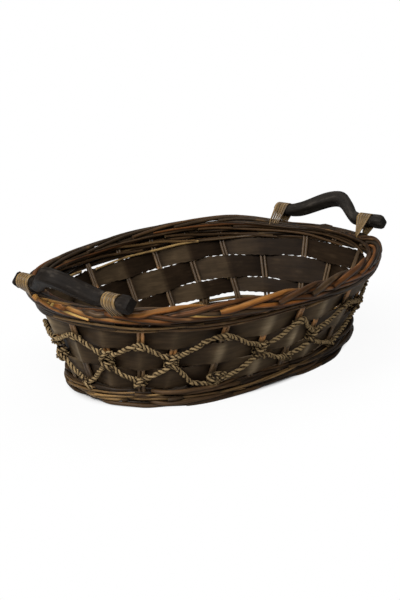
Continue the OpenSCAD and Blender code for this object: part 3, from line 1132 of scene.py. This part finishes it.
@dataclass
class Border:
    """The plaited border of stained willow rods."""

    steps: int = 6

    def rod(
        self, maker: Maker, k: float, stops: Sequence[tuple[float, float, float]], thick: float, tone: float,
        rng: random.Random,
    ) -> None:
        """Add one rod through stops round the border's middle, its top painted lighter and its underside painted
        darker.

        Args:
            maker: the piece that it belongs to.
            k: stake number that the stops are counted from.
            stops: stake number, distance out and height over the border's middle.
            thick: its thickness at the butt.
            tone: its shade.
            rng: source of its wander.
        """
        wander = [Vector((rng.uniform(-0.05, 0.05), rng.uniform(-0.35, 0.35), rng.uniform(-0.35, 0.35))) for _ in stops]
        line = through([Vector(s) + w for s, w in zip(stops, wander)], self.steps)
        path = []
        for p in line:
            i = k + p.x
            right = bump(i, 9.5, 4.5) * ease((p.z + 8) / 5)
            low = min(1.0, 1.7 * max(bump(i, end, half) for end, half in ((0.0, 2.7), (12.3, 2.4), (24.0, 2.7))))
            z = p.z * (1 - 0.6 * low) - 2.2 * low if p.z > 0 else p.z
            z += 4.6 * bump(i, 14.8, 2.8) * (1 - low) + 1.5 * bump(i, 17.0, 2.0) - 1.2 * bump(i, 18.8, 1.7)
            path.append(WALL.point(i, WALL.border_z + z, p.y * (1 - 0.25 * right) - 1.6 * right - 1.2 * low))
        begin = len(maker.points)
        maker.tube(
            path, lambda s: thick / 2 * (1.0 - 0.3 * s) * (0.82 + 0.18 * ease(s / 0.05)), lambda j: UP, tone,
            rng.uniform(0, 99), 12,
        )
        # Painted light and shade: each rod's top lighter and its underside darker, as light from above falls.
        for n in range(begin, len(maker.points)):
            core = path[min((n - begin) // 12, len(path) - 1)]
            top = min(1.0, max(-1.0, (maker.points[n].z - core.z) / thick * 2.2))
            maker.tones[n] += tone * (0.14 * top if top > 0 else 0.6 * top)

    def shade(self, k: float, rng: random.Random) -> float:
        """Return the shade of a rod at stake number k: warm in front, grey behind.

        Args:
            k: stake number.
            rng: source of the choice.

        Returns:
            The tone, 0 to 1.
        """
        k %= WALL.stakes
        if k < 1.5 or k > 22.8:
            return rng.choice((0.48, 0.58, 0.64, 0.7, 0.74, 0.78))
        if k < 5:
            return rng.choice((0.24, 0.42, 0.5, 0.54, 0.6, 0.66))
        if k < 8.6:
            return rng.choice((0.2, 0.34, 0.4, 0.44, 0.5, 0.56))
        if k < 10:
            return rng.choice((0.04, 0.1, 0.2, 0.26, 0.3, 0.36))
        return rng.choice((0.05, 0.14, 0.2, 0.26, 0.34, 0.46))

    def build(self) -> None:
        """Build the plait in front and at the ends, and the long rods behind."""
        rng = random.Random(11)
        over = Maker("border_over_rods")
        under = Maker("border_under_rods")
        for k in (*range(-3, 8), 8, 8.5, 9, 9.5):
            self.plait(over, under, k, rng)
        for n in range(9):
            self.long_rods(over, under, 9.6 + n * 1.45, rng)
        for k in range(0, WALL.stakes, 2):
            for out, z in ((-2.6, -1.6), (2.2, -2.2)):
                self.rod(
                    under, k, [(0, out, z), (1.2, out + 0.8, z + 0.4), (2.4, out, z)], rng.uniform(4.4, 5.0),
                    self.shade(k, rng) * 0.4, rng,
                )
        self.rod(under, -0.55, [(0, 5.6, 1.4), (0.5, 8.0, -1.6), (0.95, 9.2, -4.2), (1.4, 9.4, -6.8)], 4.8, 0.98, rng)
        for n in range(5):
            self.rod(
                under, 22.3 + 0.42 * n, [(0, -7.6, 1.2), (0.5, -6.4, 3.0), (1.1, -2.6, 2.2), (1.8, 2.4, 0.4), (2.5, 5.6, -2.0)],
                4.2, rng.choice((0.5, 0.58, 0.66, 0.72)), rng,
            )
        for n in range(3):
            self.rod(
                under, 9.7 + 0.45 * n,
                [(0, 6.8, -4.6), (0.9, 9.2, -7.0 - n), (1.9, 9.4, -7.4 - n), (2.8, 7.4, -5.2)],
                3.8, 0.12 + 0.1 * n, rng,
            )
        for n in range(3):
            self.rod(
                under, 6.3 + 0.3 * n, [(0, 7.0, -6.0 - n), (0.8, 8.6, -8.4 - 1.4 * n), (1.6, 8.6, -9.0 - n), (2.5, 6.0, -6.0)],
                3.6, 0.1 + 0.12 * n, rng,
            )
        self.rod(under, 2.9, [(0, 6.0, 0.0), (0.5, 8.0, -2.6), (1.0, 9.0, -4.6)], 4.8, 0.92, rng)
        # Paint shade where the border rods touch.
        CreviceShade((over, under)).darken(1.7, 5.6)
        over.build("border_willow", ["border_strand_a"], BORDER)
        under.build("border_willow", ["border_strand_b"], BORDER)

    def plait(self, over: Maker, under: Maker, k: float, rng: random.Random) -> None:
        """Add a stake's rods: one leans over the top, others run down outside.

        Args:
            over: the piece with the rods on top.
            under: the piece with the rods below.
            k: stake number.
            rng: source of each rod's own shape and shade.
        """
        self.rod(
            over, k + rng.uniform(-0.1, 0.1),
            [
                (-0.15, 8.0, -1.6) if k > 3 else (-0.5, 5.0, -3.4), (0.1, 7.2, 0.2), (0.5, 5.0, 3.2), (0.95, 1.2, 4.8),
                (1.35, -3.0, 3.8), (1.75, -5.6, 0.8), (2.1, -5.4, -2.6),
            ],
            rng.uniform(5.6, 6.8) if k < 8 else 4.4, self.shade(k + 0.5, rng), rng,
        )
        self.rod(
            over, k + 0.55 + rng.uniform(-0.1, 0.1),
            [(-0.4, 4.0, -2.6), (0.1, 5.0, 0.2), (0.7, 2.0, 2.7), (1.3, -2.4, 2.4), (1.8, -5.4, -0.6)],
            rng.uniform(3.8, 4.6), self.shade(k + 0.5, rng) * rng.uniform(0.5, 0.95), rng,
        )
        self.rod(
            under, k + rng.uniform(-0.1, 0.1),
            [(-0.6, 0.4, 0.6), (-0.1, 4.6, 0.9), (0.45, 7.3, -1.2), (1.0, 8.4, -3.9), (1.6, 7.4, -6.0), (2.1, 5.0, -7.4)],
            rng.uniform(5.0, 6.0) if k < 8 else 4.2, self.shade(k, rng), rng,
        )
        self.rod(
            under, k + rng.uniform(-0.3, 0.3), [(0, 6.6, -5.0), (1.0, 6.6, -6.6), (2.0, 6.4, -7.6), (3.0, 5.0, -8.6)],
            rng.uniform(3.0, 4.0), rng.choice((0.05, 0.15, 0.3, 0.5, 0.75)), rng,
        )
        self.rod(
            under, k + rng.uniform(-0.3, 0.3), [(0, -6.0, -4.6), (1.0, -6.9, -3.4), (2.0, -6.6, -1.6)],
            rng.uniform(3.4, 4.2), self.shade(k, rng) * 0.7, rng,
        )

    def long_rods(self, over: Maker, under: Maker, k: float, rng: random.Random) -> None:
        """Add the rods that run nearly level along the back.

        Args:
            over: the piece with the rods on top.
            under: the piece with the rods below.
            k: stake number at which they begin.
            rng: source of each rod's own shape and shade.
        """
        self.rod(
            over, k + rng.uniform(-0.3, 0.3),
            [(0, 6.8, -0.8), (1.2, 4.6, 2.2), (2.6, 0.8, 4.2), (4.0, -3.2, 3.8), (5.2, -6.0, 1.4)],
            rng.uniform(4.8, 5.8), self.shade(k, rng), rng,
        )
        self.rod(
            under, k + rng.uniform(-0.3, 0.3), [(0, 6.4, -1.8), (1.5, 7.2, -3.6), (3.0, 6.8, -5.2), (4.2, 5.4, -7.2)],
            rng.uniform(3.8, 4.6), self.shade(k, rng), rng,
        )
        self.rod(
            under, k + 0.7 + rng.uniform(-0.3, 0.3), [(0, 6.2, -4.6), (1.5, 6.0, -6.0), (3.0, 5.0, -8.0)],
            rng.uniform(3.2, 4.0), self.shade(k, rng), rng,
        )
        self.rod(
            under, k + rng.uniform(-0.3, 0.3), [(0, -5.4, -3.6), (1.5, -7.0, -2.2), (3.2, -6.6, -0.4)],
            rng.uniform(3.4, 4.2), self.shade(k, rng), rng,
        )


@dataclass
class Net:
    """The seagrass ropes, laid of two strands, and their knots."""

    thick: float = 4.4
    reach: float = 4.8
    lay_pitch: float = 9.4
    step: float = 0.7
    upper: dict[int, float] = field(default_factory=lambda: {
        0: 71.0, 1: 54.0, 2: 67.5, 3: 51.5, 4: 71.5, 5: 49.0, 6: 69.5, 7: 47.5, 8: 65.0, 22: 63.0, 23: 54.0,
    })
    lower: dict[int, float] = field(default_factory=lambda: {
        0: 18.0, 1: 42.5, 2: 28.0, 3: 44.5, 4: 16.5, 5: 40.0, 6: 28.5, 7: 37.0, 8: 18.5,
    })

    def at_stake(self, which: int, k: int) -> float:
        """Return a rope's height at a stake: measured in front, regular behind.

        Args:
            which: 0 for the lower rope, 1 for the upper one.
            k: stake number.

        Returns:
            The height in millimetres.
        """
        k %= WALL.stakes
        known = self.upper if which else self.lower
        if k in known:
            return known[k]
        if which:
            return 50.0 if k % 2 else 69.0
        return 41.0 if k % 2 else (18.0 if k % 4 == 0 else 28.0)

    def laid(self, maker: Maker, path: Sequence[Vector], rng: random.Random, thick: float) -> None:
        """Add a rope of two strands that wind round a path.

        Args:
            maker: the piece that it belongs to.
            path: points along the rope's middle.
            rng: source of the strands' tone.
            thick: the rope's thickness.
        """
        fine = self.refine(path)
        turns = 2 * math.pi * self.step / self.lay_pitch
        guide = Vector((0.13, 0.21, 0.97))
        start = rng.uniform(0, math.pi)
        for strand in range(2):
            wound, away = [], []
            for j, p in enumerate(fine):
                along = (fine[min(j + 1, len(fine) - 1)] - fine[max(j - 1, 0)]).normalized()
                across = along.cross(guide).normalized()
                up = across.cross(along)
                t = start + j * turns + math.pi * strand + 0.9 * math.sin(j * 0.11 + start) + 0.5 * math.sin(j * 0.29)
                away.append(math.cos(t) * up + math.sin(t) * across)
                wound.append(p + thick * 0.26 * away[-1])
            # The last argument paints shade on each strand's side towards the rope's middle.
            maker.tube(
                wound, lambda s, start=start: thick * (
                    0.275 + 0.035 * math.sin(s * len(fine) * 0.95 + start) + 0.03 * math.sin(s * len(fine) * 0.17 + start)
                ),
                lambda j: guide, rng.uniform(0.5, 0.95), rng.uniform(0, 99), 8, lambda j, way=away: way[j],
            )

    def refine(self, path: Sequence[Vector]) -> list[Vector]:
        """Return points along a path, one every step."""
        fine, left = [path[0]], 0.0
        for a, b in zip(path, path[1:]):
            run = (b - a).length
            at = self.step - left
            while at <= run:
                fine.append(a.lerp(b, at / run))
                at += self.step
            left = run - (at - self.step)
        return fine

    def height(self, which: int, i: float) -> float:
        """Return a rope's height at stake number i, taut between stakes with a slight sag."""
        k = math.floor(i)
        share = i - k
        soft = blend(share, ease(share), 0.3)
        sag = 1.2 * math.sin(math.pi * share) ** 2
        return blend(self.at_stake(which, k), self.at_stake(which, k + 1), soft) - sag

    def build(self) -> None:
        """Build the ropes with their hitches, the knots and the end knot."""
        makers: list[Maker] = []
        for which, name in enumerate(("rope_lower", "rope_upper")):
            rng = random.Random(21 + which)
            maker = Maker(name + "_cord")
            path = []
            for j in range(WALL.stakes * 16 + 1):
                i = 3.7 + j / 16
                z = self.height(which, i) + 0.7 * math.sin(i * 5.1 + which * 2) + 0.4 * math.sin(i * 13.3 + which)
                path.append(WALL.point(i, z, self.reach + 0.3 * math.sin(i * 8.7)))
            self.laid(maker, path, rng, self.thick)
            makers.append(maker)
            for k in range(0, WALL.stakes, 2):
                z = self.at_stake(which, k)
                if which:
                    self.turn(maker, k, z - 4.2, rng.uniform(-0.6, 0.6), rng, 4.4)
                elif k != 4:
                    small = 0.82 if 5 < k < 12 else 1.0
                    self.turn(maker, k, z + 1.6 * small, rng.uniform(0.4, 1.4), rng, 4.2 * small)
                    self.turn(maker, k, z - 3.2 * small, rng.uniform(-1.2, 0.2), rng, 4.2 * small)
                    self.crossing(maker, k, z - 0.8, rng.choice((-1, 1)), rng, small)
        makers += self.knots()
        # Paint shade where the cords touch.
        CreviceShade(makers).darken(1.0, 3.4)
        for maker, node in zip(makers, ("rope_lower", "rope_upper", "rope_knots", "rope_end_knot")):
            maker.build("rope", [node], CORD)

    def turn(self, maker: Maker, i: float, z: float, tilt: float, rng: random.Random, thick: float) -> None:
        """Add one turn of rope round the outside of a stake.

        Args:
            maker: the piece that it belongs to.
            i: stake number.
            z: its height.
            tilt: how much one side is higher.
            rng: source of its twist.
            thick: the rope's thickness.
        """
        middle, out, aside = WALL.point(i, z, 0.6), WALL.normal(i), WALL.aside(i)
        path = []
        for s in range(25):
            t = math.radians(blend(-105, 105, s / 24))
            path.append(middle + aside * 5.0 * math.sin(t) + out * 5.0 * math.cos(t) + UP * tilt * math.sin(t))
        self.laid(maker, path, rng, thick)

    def crossing(self, maker: Maker, i: float, z: float, way: int, rng: random.Random, size: float) -> None:
        """Add the part of a hitch that crosses over its turns.

        Args:
            maker: the piece that it belongs to.
            i: stake number.
            z: its height.
            way: 1 where it rises along the wall, else -1.
            rng: source of its twist.
            size: scale of the hitch.
        """
        middle, out, aside = WALL.point(i, z, 0.6), WALL.normal(i), WALL.aside(i)
        path = []
        for s in range(21):
            t = blend(-1, 1, s / 20)
            path.append(
                middle + aside * 5.6 * size * t + out * (2.6 + 4.6 * math.cos(t * 1.35)) + UP * way * 4.2 * size * t
            )
        self.laid(maker, path, rng, 3.8 * size)

    def knots(self) -> list[Maker]:
        """Return the hitches that tie both ropes to every odd stake, and the end knot."""
        rng = random.Random(31)
        maker = Maker("net_knots")
        for i in range(1, WALL.stakes, 2):
            small = 0.88 if 6 < i < 12 else 1.0
            high, low = self.at_stake(1, i), self.at_stake(0, i)
            for z, way in ((high, 1), (low + 0.6, -1)):
                self.turn(maker, i, z + 2.3 * small, rng.uniform(-0.9, 0.9), rng, 4.4 * small)
                self.turn(maker, i, z - 2.3 * small, rng.uniform(-0.9, 0.9), rng, 4.4 * small)
                self.crossing(maker, i + rng.uniform(-0.01, 0.01), z, way, rng, small)
        end = Maker("net_end_knot")
        self.ball(end, 4.05, 26.0, 5.6, rng, 0.4)
        self.ball(end, 4.1, 26.5, 4.2, rng, 2.1)
        link = [WALL.point(4.08, z, 5.0 + 0.12 * (z - 16)) for z in range(16, 24)]
        self.laid(end, link, rng, 4.0)
        return [maker, end]

    def ball(self, maker: Maker, i: float, z: float, size: float, rng: random.Random, roll: float) -> None:
        """Add an overhand knot that lies against the wall.

        Args:
            maker: the piece that it belongs to.
            i: stake number.
            z: height of its middle.
            size: its half height.
            rng: source of its twist.
            roll: how it is turned.
        """
        centre, out, aside = WALL.point(i, z, self.reach + 2.4), WALL.normal(i), WALL.aside(i)
        path = []
        for s in range(49):
            t = 2 * math.pi * s / 48
            x = (math.sin(t) + 2 * math.sin(2 * t)) / 3
            y = (math.cos(t) - 2 * math.cos(2 * t)) / 3
            u = x * math.cos(roll) - y * math.sin(roll)
            v = x * math.sin(roll) + y * math.cos(roll)
            path.append(centre + size * (aside * u * 1.55 + UP * v * 0.72) + out * (-1.9 * math.sin(3 * t)))
        self.laid(maker, path, rng, 3.8)


@dataclass
class Floor:
    """The rods across the floor and the chips woven through them."""

    z: float = 6.0
    rods: int = 11
    rod_d: float = 3.6
    pitch: float = 25.0
    chips: int = 5
    chip_w: float = 38.0
    chip_t: float = 1.0
    chip_pitch: float = 41.0
    chip_nose: float = 12.0
    inset: float = 6.4

    def build(self) -> None:
        """Build the rods as one piece and each chip as its own."""
        rng = random.Random(51)
        maker = Maker("floor_rods_bark")
        for k in range(self.rods):
            x = (k - (self.rods - 1) / 2) * self.pitch
            y = WALL.half_width(x, self.z, -self.inset)
            bow = rng.uniform(-0.5, 0.5)
            path = [Vector((x + bow * math.sin(math.pi * s / 20), blend(-y, y, s / 20), self.z)) for s in range(21)]
            maker.tube(
                path, lambda s: self.rod_d / 2 * (1 - 0.08 * s), lambda j: UP, rng.uniform(0.1, 0.6), rng.uniform(0, 99),
            )
        maker.build("willow_rod", ["floor_rods"], ROD)
        for row in range(self.chips):
            self.chip(row, rng)

    def chip(self, row: int, rng: random.Random) -> None:
        """Build one chip, over and under the rods in turn, cut to the oval.

        Args:
            row: which chip, from the front.
            rng: source of its tone.
        """
        y = (row - (self.chips - 1) / 2) * self.chip_pitch
        inner = max(self.chip_w / 2, abs(y) - self.chip_w / 2 + self.chip_nose)
        reach = min(WALL.half_length(inner, self.z, -self.inset), 121.4 if abs(y) > 80 else 999)
        maker = Maker(f"floor_chip_{row + 1}_wood")
        lift = (self.rod_d + self.chip_t) / 2 + 0.2
        count = 160
        rings, lays = [], []
        for j in range(count + 1):
            x = blend(-reach, reach, j / count)
            k = x / self.pitch + (self.rods - 1) / 2
            wave = math.sin(math.pi / 2 * math.cos(math.pi * (k + row))) * ease((self.rods - abs(k - 5) * 2) / 1.2)
            half = WALL.half_width(x, self.z, -self.inset)
            low, high = max(y - self.chip_w / 2, -half), min(y + self.chip_w / 2, half)
            ring, lay = [], []
            for face in (1, -1):
                for m in range(5):
                    across = m / 4 if face == 1 else 1 - m / 4
                    place = Vector((x, blend(low, high, across), self.z + lift * wave + face * self.chip_t / 2))
                    ring.append(place)
                    lay.append(Vector((x + row * 411, place.y, face * self.chip_t / 2)))
            rings.append(ring)
            lays.append(lay)
        maker.skin(rings, lays, rng.uniform(0.3, 0.6))
        maker.build("chip_wood", [f"floor_chip_{row + 1}"], CHIP)


@dataclass
class Handle:
    """A bent bar with a round neck under each lashing, and its two lashings."""

    side: Side
    foot_z: float
    peak: float
    tone: float
    cane_tone: float
    ends: tuple[float, float]
    foot_x: float = 198.0
    lean: float = 48.0
    rise: float = 24.0
    bar_t: float = 11.5
    swell: float = 3.2
    bar_w: float = 15.0
    lash_y: float = 58.5
    neck_r: float = 6.2
    neck_half: float = 9.75
    arch_half: float = 47.75
    taper: float = 12.0
    cane_t: float = 1.3
    cane_w: float = 3.5
    cane_pitch: float = 3.4
    cane_turns: int = 5
    play: float = 0.3
    section: int = 24

    @property
    def axis(self) -> Vector:
        """Return the middle of the line through both necks."""
        return Vector((self.side.value * self.foot_x, 0, self.foot_z))

    @property
    def word(self) -> str:
        """Return the side as it stands in names."""
        return self.side.name.lower()

    def build(self) -> None:
        """Build the bar and both lashings."""
        self.bar()
        for end, word in ((-1, "front"), (1, "back")):
            self.lashing(end, word)

    def arch(self, y: float) -> tuple[float, float]:
        """Return the bar's rise over its feet at y, and its slope."""
        if abs(y) > self.arch_half:
            return 0.0, 0.0
        span = self.arch_half + (self.peak if y < self.peak else -self.peak)
        turn = math.pi * (y - self.peak) / span
        return self.rise / 2 * (1 + math.cos(turn)), math.atan(-self.rise / 2 * math.pi / span * math.sin(turn))

    def bar(self) -> None:
        """Build the bar, charred, flat-sided and worn at its edges."""
        tilt = Matrix.Rotation(math.radians(self.side.value * self.lean), 3, "Y")
        maker = Maker(f"handle_{self.word}_bar")
        rings, lays = [], []
        outer = self.lash_y + self.neck_half
        ys = [-outer - self.ends[0] + s for s in (0.0, 0.5, 1.2, 2.2, 3.2)]
        ys += [blend(-outer - self.ends[0] + 4, outer + self.ends[1] - 4, j / 170) for j in range(171)]
        ys += [outer + self.ends[1] - s for s in (3.2, 2.2, 1.2, 0.5, 0.0)]
        for y in ys:
            rise, slope = self.arch(y)
            off_neck = abs(abs(y) - self.lash_y) - self.neck_half
            neck = 1 - ease(off_neck / 1.6)
            inside = abs(y) < self.lash_y
            width = blend(self.neck_r * 2, self.bar_w, min(1.0, max(0.0, off_neck / self.taper))) if inside else self.bar_w
            left = (outer + self.ends[0] + y) if y < 0 else (outer + self.ends[1] - y)
            nose = 1 - 0.16 * (1 - ease(left / 3.4))
            thick = self.bar_t + self.swell * ease(rise / self.rise)
            ring, lay = [], []
            for k in range(self.section):
                t = 2 * math.pi * (k + 0.5) / self.section
                c, s = math.cos(t), math.sin(t)
                square = (abs(c) ** 8 + abs(s) ** 8) ** (-1 / 8)
                u = blend(thick / 2 * square, self.neck_r, neck) * nose * c
                v = blend(width / 2 * square, self.neck_r, neck) * nose * s
                local = Vector((v, y - u * math.sin(slope), rise + u * math.cos(slope)))
                ring.append(self.axis + tilt @ local)
                lay.append(Vector((y + 300 * self.side.value, u, v)))
            rings.append(ring[::-1])
            lays.append(lay[::-1])
        maker.skin(rings, lays, self.tone)
        maker.build("handle_wood", [f"handle_{self.word}"], HANDLE, f"{self.word}_handle")

    def loop_point(self, y: float, angle: float, grow: float) -> Vector:
        """Return a point on a tight loop round the neck and the heart of the border.

        Args:
            y: where along the handle.
            angle: direction from the loop's middle, in radians.
            grow: distance outside the tight loop.

        Returns:
            The point in millimetres.
        """
        ux, uz = math.cos(angle), math.sin(angle)
        _, end_r, _, _ = WALL.arcs(WALL.border_z)
        neck = Vector((self.foot_x, self.foot_z)) + (self.neck_r + self.play + grow) * Vector((ux, uz))
        a = 5.6 / math.sqrt(1 - (y / end_r) ** 2) + self.play + grow
        b = 5.0 + grow
        reach = math.hypot(a * ux, b * uz)
        rim = Vector((WALL.half_length(y, WALL.border_z, 0), WALL.border_z)) + Vector((a * a * ux, b * b * uz)) / reach
        best = neck if neck.x * ux + neck.y * uz > rim.x * ux + rim.y * uz else rim
        return Vector((self.side.value * best.x, y, best.y))

    def lashing(self, end: int, word: str) -> None:
        """Build the turns of cane round one neck, with painted shade along the cane's edges.

        Args:
            end: -1 at the front, 1 at the back.
            word: the same, as it stands in the node's name.
        """
        name = f"lashing_{self.word}_{word}"
        maker = Maker(name + "_cane")
        rings, lays, run, last = [], [], 0.0, None
        steps = 60
        middle_z = (self.foot_z + WALL.border_z) / 2
        for j in range(int(self.cane_turns * steps) + 1):
            angle = 2 * math.pi * j / steps - math.pi / 2
            wander = 0.35 * math.sin(j * 0.11 + end)
            y = end * self.lash_y + (j / steps - self.cane_turns / 2) * self.cane_pitch + wander
            here = self.loop_point(y, angle, self.cane_t / 2)
            run += (here - last).length if last else 0.0
            last = here
            gather = ease((middle_z + 2 - here.z) / 9) * 0.55
            ring, lay = [], []
            for k in range(10):
                t = 2 * math.pi * k / 10
                across = self.cane_w / 2 * math.copysign(abs(math.cos(t)) ** 0.6, math.cos(t))
                up = self.cane_t / 2 * (1 + math.copysign(abs(math.sin(t)) ** 0.8, math.sin(t)))
                place = self.loop_point(y, angle, up) + Vector((0, across, 0))
                place.y = blend(place.y, end * self.lash_y, gather)
                ring.append(place)
                lay.append(Vector((run, across, up)))
            rings.append(ring if self.side is Side.RIGHT else ring[::-1])
            lays.append(lay if self.side is Side.RIGHT else lay[::-1])
        # Painted shade along both edges of the cane, where the turns meet, over a tone that varies along the cane.
        tones = [
            [
                self.cane_tone * (1 + 0.3 * math.sin(0.075 * j + end)) * (1 - 0.95 * abs(math.cos(2 * math.pi * k / 10)) ** 2)
                for k in range(10)
            ]
            for j in range(len(rings))
        ]
        maker.skin(rings, lays, self.cane_tone, tones)
        maker.build("cane", [name], CANE)


@dataclass(frozen=True)
class Lamp:
    """A soft square lamp that faces the basket."""

    name: str
    azimuth: float
    elevation: float
    distance: float
    size: float
    power: float

    def hang(self, target: Vector) -> None:
        """Hang the lamp and turn it to the target."""
        a, e = math.radians(self.azimuth), math.radians(self.elevation)
        back = Vector((math.sin(a) * math.cos(e), -math.cos(a) * math.cos(e), math.sin(e)))
        data = bpy.data.lights.new(self.name, "AREA")
        data.size = self.size
        data.energy = self.power
        lamp = bpy.data.objects.new(self.name, data)
        lamp.location = target + back * self.distance
        lamp.rotation_mode = "QUATERNION"
        lamp.rotation_quaternion = back.to_track_quat("Z", "Y")
        bpy.context.scene.collection.objects.link(lamp)


@dataclass
class Studio:
    """The camera, the lamps, the pale floor and the white background."""

    azimuth: float = -47.57
    elevation: float = 16.11
    distance: float = 1.14164
    focal_px: float = 1086.45
    centre_px: tuple[float, float] = (213.5, 297.2)
    picture_px: tuple[int, int] = (400, 600)
    roll: float = -2.0
    ambient: float = 0.16
    target: Vector = field(default_factory=lambda: Vector((0, 0, 0.06)))
    lamp_list: tuple[Lamp, ...] = (
        Lamp("key", -98, 38, 1.5, 0.5, 18), Lamp("front", -42, 42, 1.8, 0.7, 19), Lamp("back", 150, 60, 1.6, 0.8, 7),
    )

    def build(self) -> None:
        """Set up everything that isn't the basket."""
        self.camera()
        self.floor()
        self.world()
        for lamp in self.lamp_list:
            lamp.hang(self.target)

    def camera(self) -> None:
        """Place the camera where the photograph was taken from."""
        a, e, r = (math.radians(v) for v in (self.azimuth, self.elevation, self.roll))
        back = Vector((math.sin(a) * math.cos(e), -math.cos(a) * math.cos(e), math.sin(e)))
        right = Vector((math.cos(a), math.sin(a), 0))
        up = back.cross(right)
        right, up = math.cos(r) * right + math.sin(r) * up, math.cos(r) * up - math.sin(r) * right
        off_x = (self.centre_px[0] - self.picture_px[0] / 2) / self.focal_px * self.distance
        off_y = (self.picture_px[1] / 2 - self.centre_px[1]) / self.focal_px * self.distance
        data = bpy.data.cameras.new("camera")
        data.sensor_width = 36.0
        data.lens = self.focal_px * data.sensor_width / max(self.picture_px)
        camera = bpy.data.objects.new("camera", data)
        place = self.target + back * self.distance - right * off_x - up * off_y
        camera.matrix_world = Matrix.Translation(place) @ Matrix((right, up, back)).transposed().to_4x4()
        bpy.context.scene.collection.objects.link(camera)
        bpy.context.scene.camera = camera

    def floor(self) -> None:
        """Lay a pale floor that shows white away from the basket and dark under it."""
        mesh = bpy.data.meshes.new("floor")
        half = 4.0
        mesh.from_pydata([(-half, -half, 0), (half, -half, 0), (half, half, 0), (-half, half, 0)], [], [(0, 1, 2, 3)])
        floor = bpy.data.objects.new("floor", mesh)
        bpy.context.scene.collection.objects.link(floor)
        mesh.materials.append(material_with("pale_floor", self.draw_floor))

    def draw_floor(self, sheet: Sheet) -> None:
        """Lay out the floor: its share of white light grows away from the foot."""
        seen = sheet.node("ShaderNodeLightPath", {}, {}, "Is Camera Ray")
        place = sheet.node("ShaderNodeTexCoord", {}, {}, "Object")
        oval = sheet.node(
            "ShaderNodeVectorMath", {"operation": "MULTIPLY"}, {0: place, 1: (2 / 0.349, 2 / 0.226, 0)}
        )
        away = sheet.node("ShaderNodeVectorMath", {"operation": "LENGTH"}, {0: oval}, "Value")
        share = sheet.fit(away, 0.98, 1.06, 0.0, 0.94) + sheet.fit(away, 1.1, 2.2, 0.0, 0.06)
        pale = sheet.node("ShaderNodeBsdfDiffuse", {}, {"Color": (0.6, 0.6, 0.6, 1)})
        glow = sheet.node("ShaderNodeEmission", {}, {"Color": (1, 1, 1, 1), "Strength": 1.0})
        both = sheet.node("ShaderNodeMixShader", {}, {0: seen * share, 1: pale, 2: glow})
        sheet.node("ShaderNodeOutputMaterial", {}, {"Surface": both})

    def world(self) -> None:
        """Make the background white to the camera and a soft light to the basket."""
        world = bpy.data.worlds.new("studio")
        bpy.context.scene.world = world
        world.use_nodes = True
        sheet = Sheet(world.node_tree)
        seen = sheet.node("ShaderNodeLightPath", {}, {}, "Is Camera Ray")
        soft = sheet.node("ShaderNodeBackground", {}, {"Color": (1, 1, 1, 1), "Strength": self.ambient})
        white = sheet.node("ShaderNodeBackground", {}, {"Color": (1, 1, 1, 1), "Strength": 1.0})
        both = sheet.node("ShaderNodeMixShader", {}, {0: seen, 1: soft, 2: white})
        sheet.node("ShaderNodeOutputWorld", {}, {"Surface": both})


def main() -> None:
    """Build the studio and every piece of the basket, in order."""
    logging.basicConfig(level=logging.INFO, format="%(name)s: %(message)s")
    bpy.context.scene.view_settings.view_transform = "Standard"
    Studio().build()
    parts = (
        Floor(), Stakes(), Waling(), Splints(), Border(), Net(),
        Handle(Side.LEFT, 112.3, 3.0, 0.2, 0.75, (13.0, 4.0)), Handle(Side.RIGHT, 114.0, -9.0, 1.0, 0.5, (13.0, 0.8)),
    )
    for part in parts:
        part.build()
        log.info("%s done", type(part).__name__)


if __name__ == "__main__":
    main()
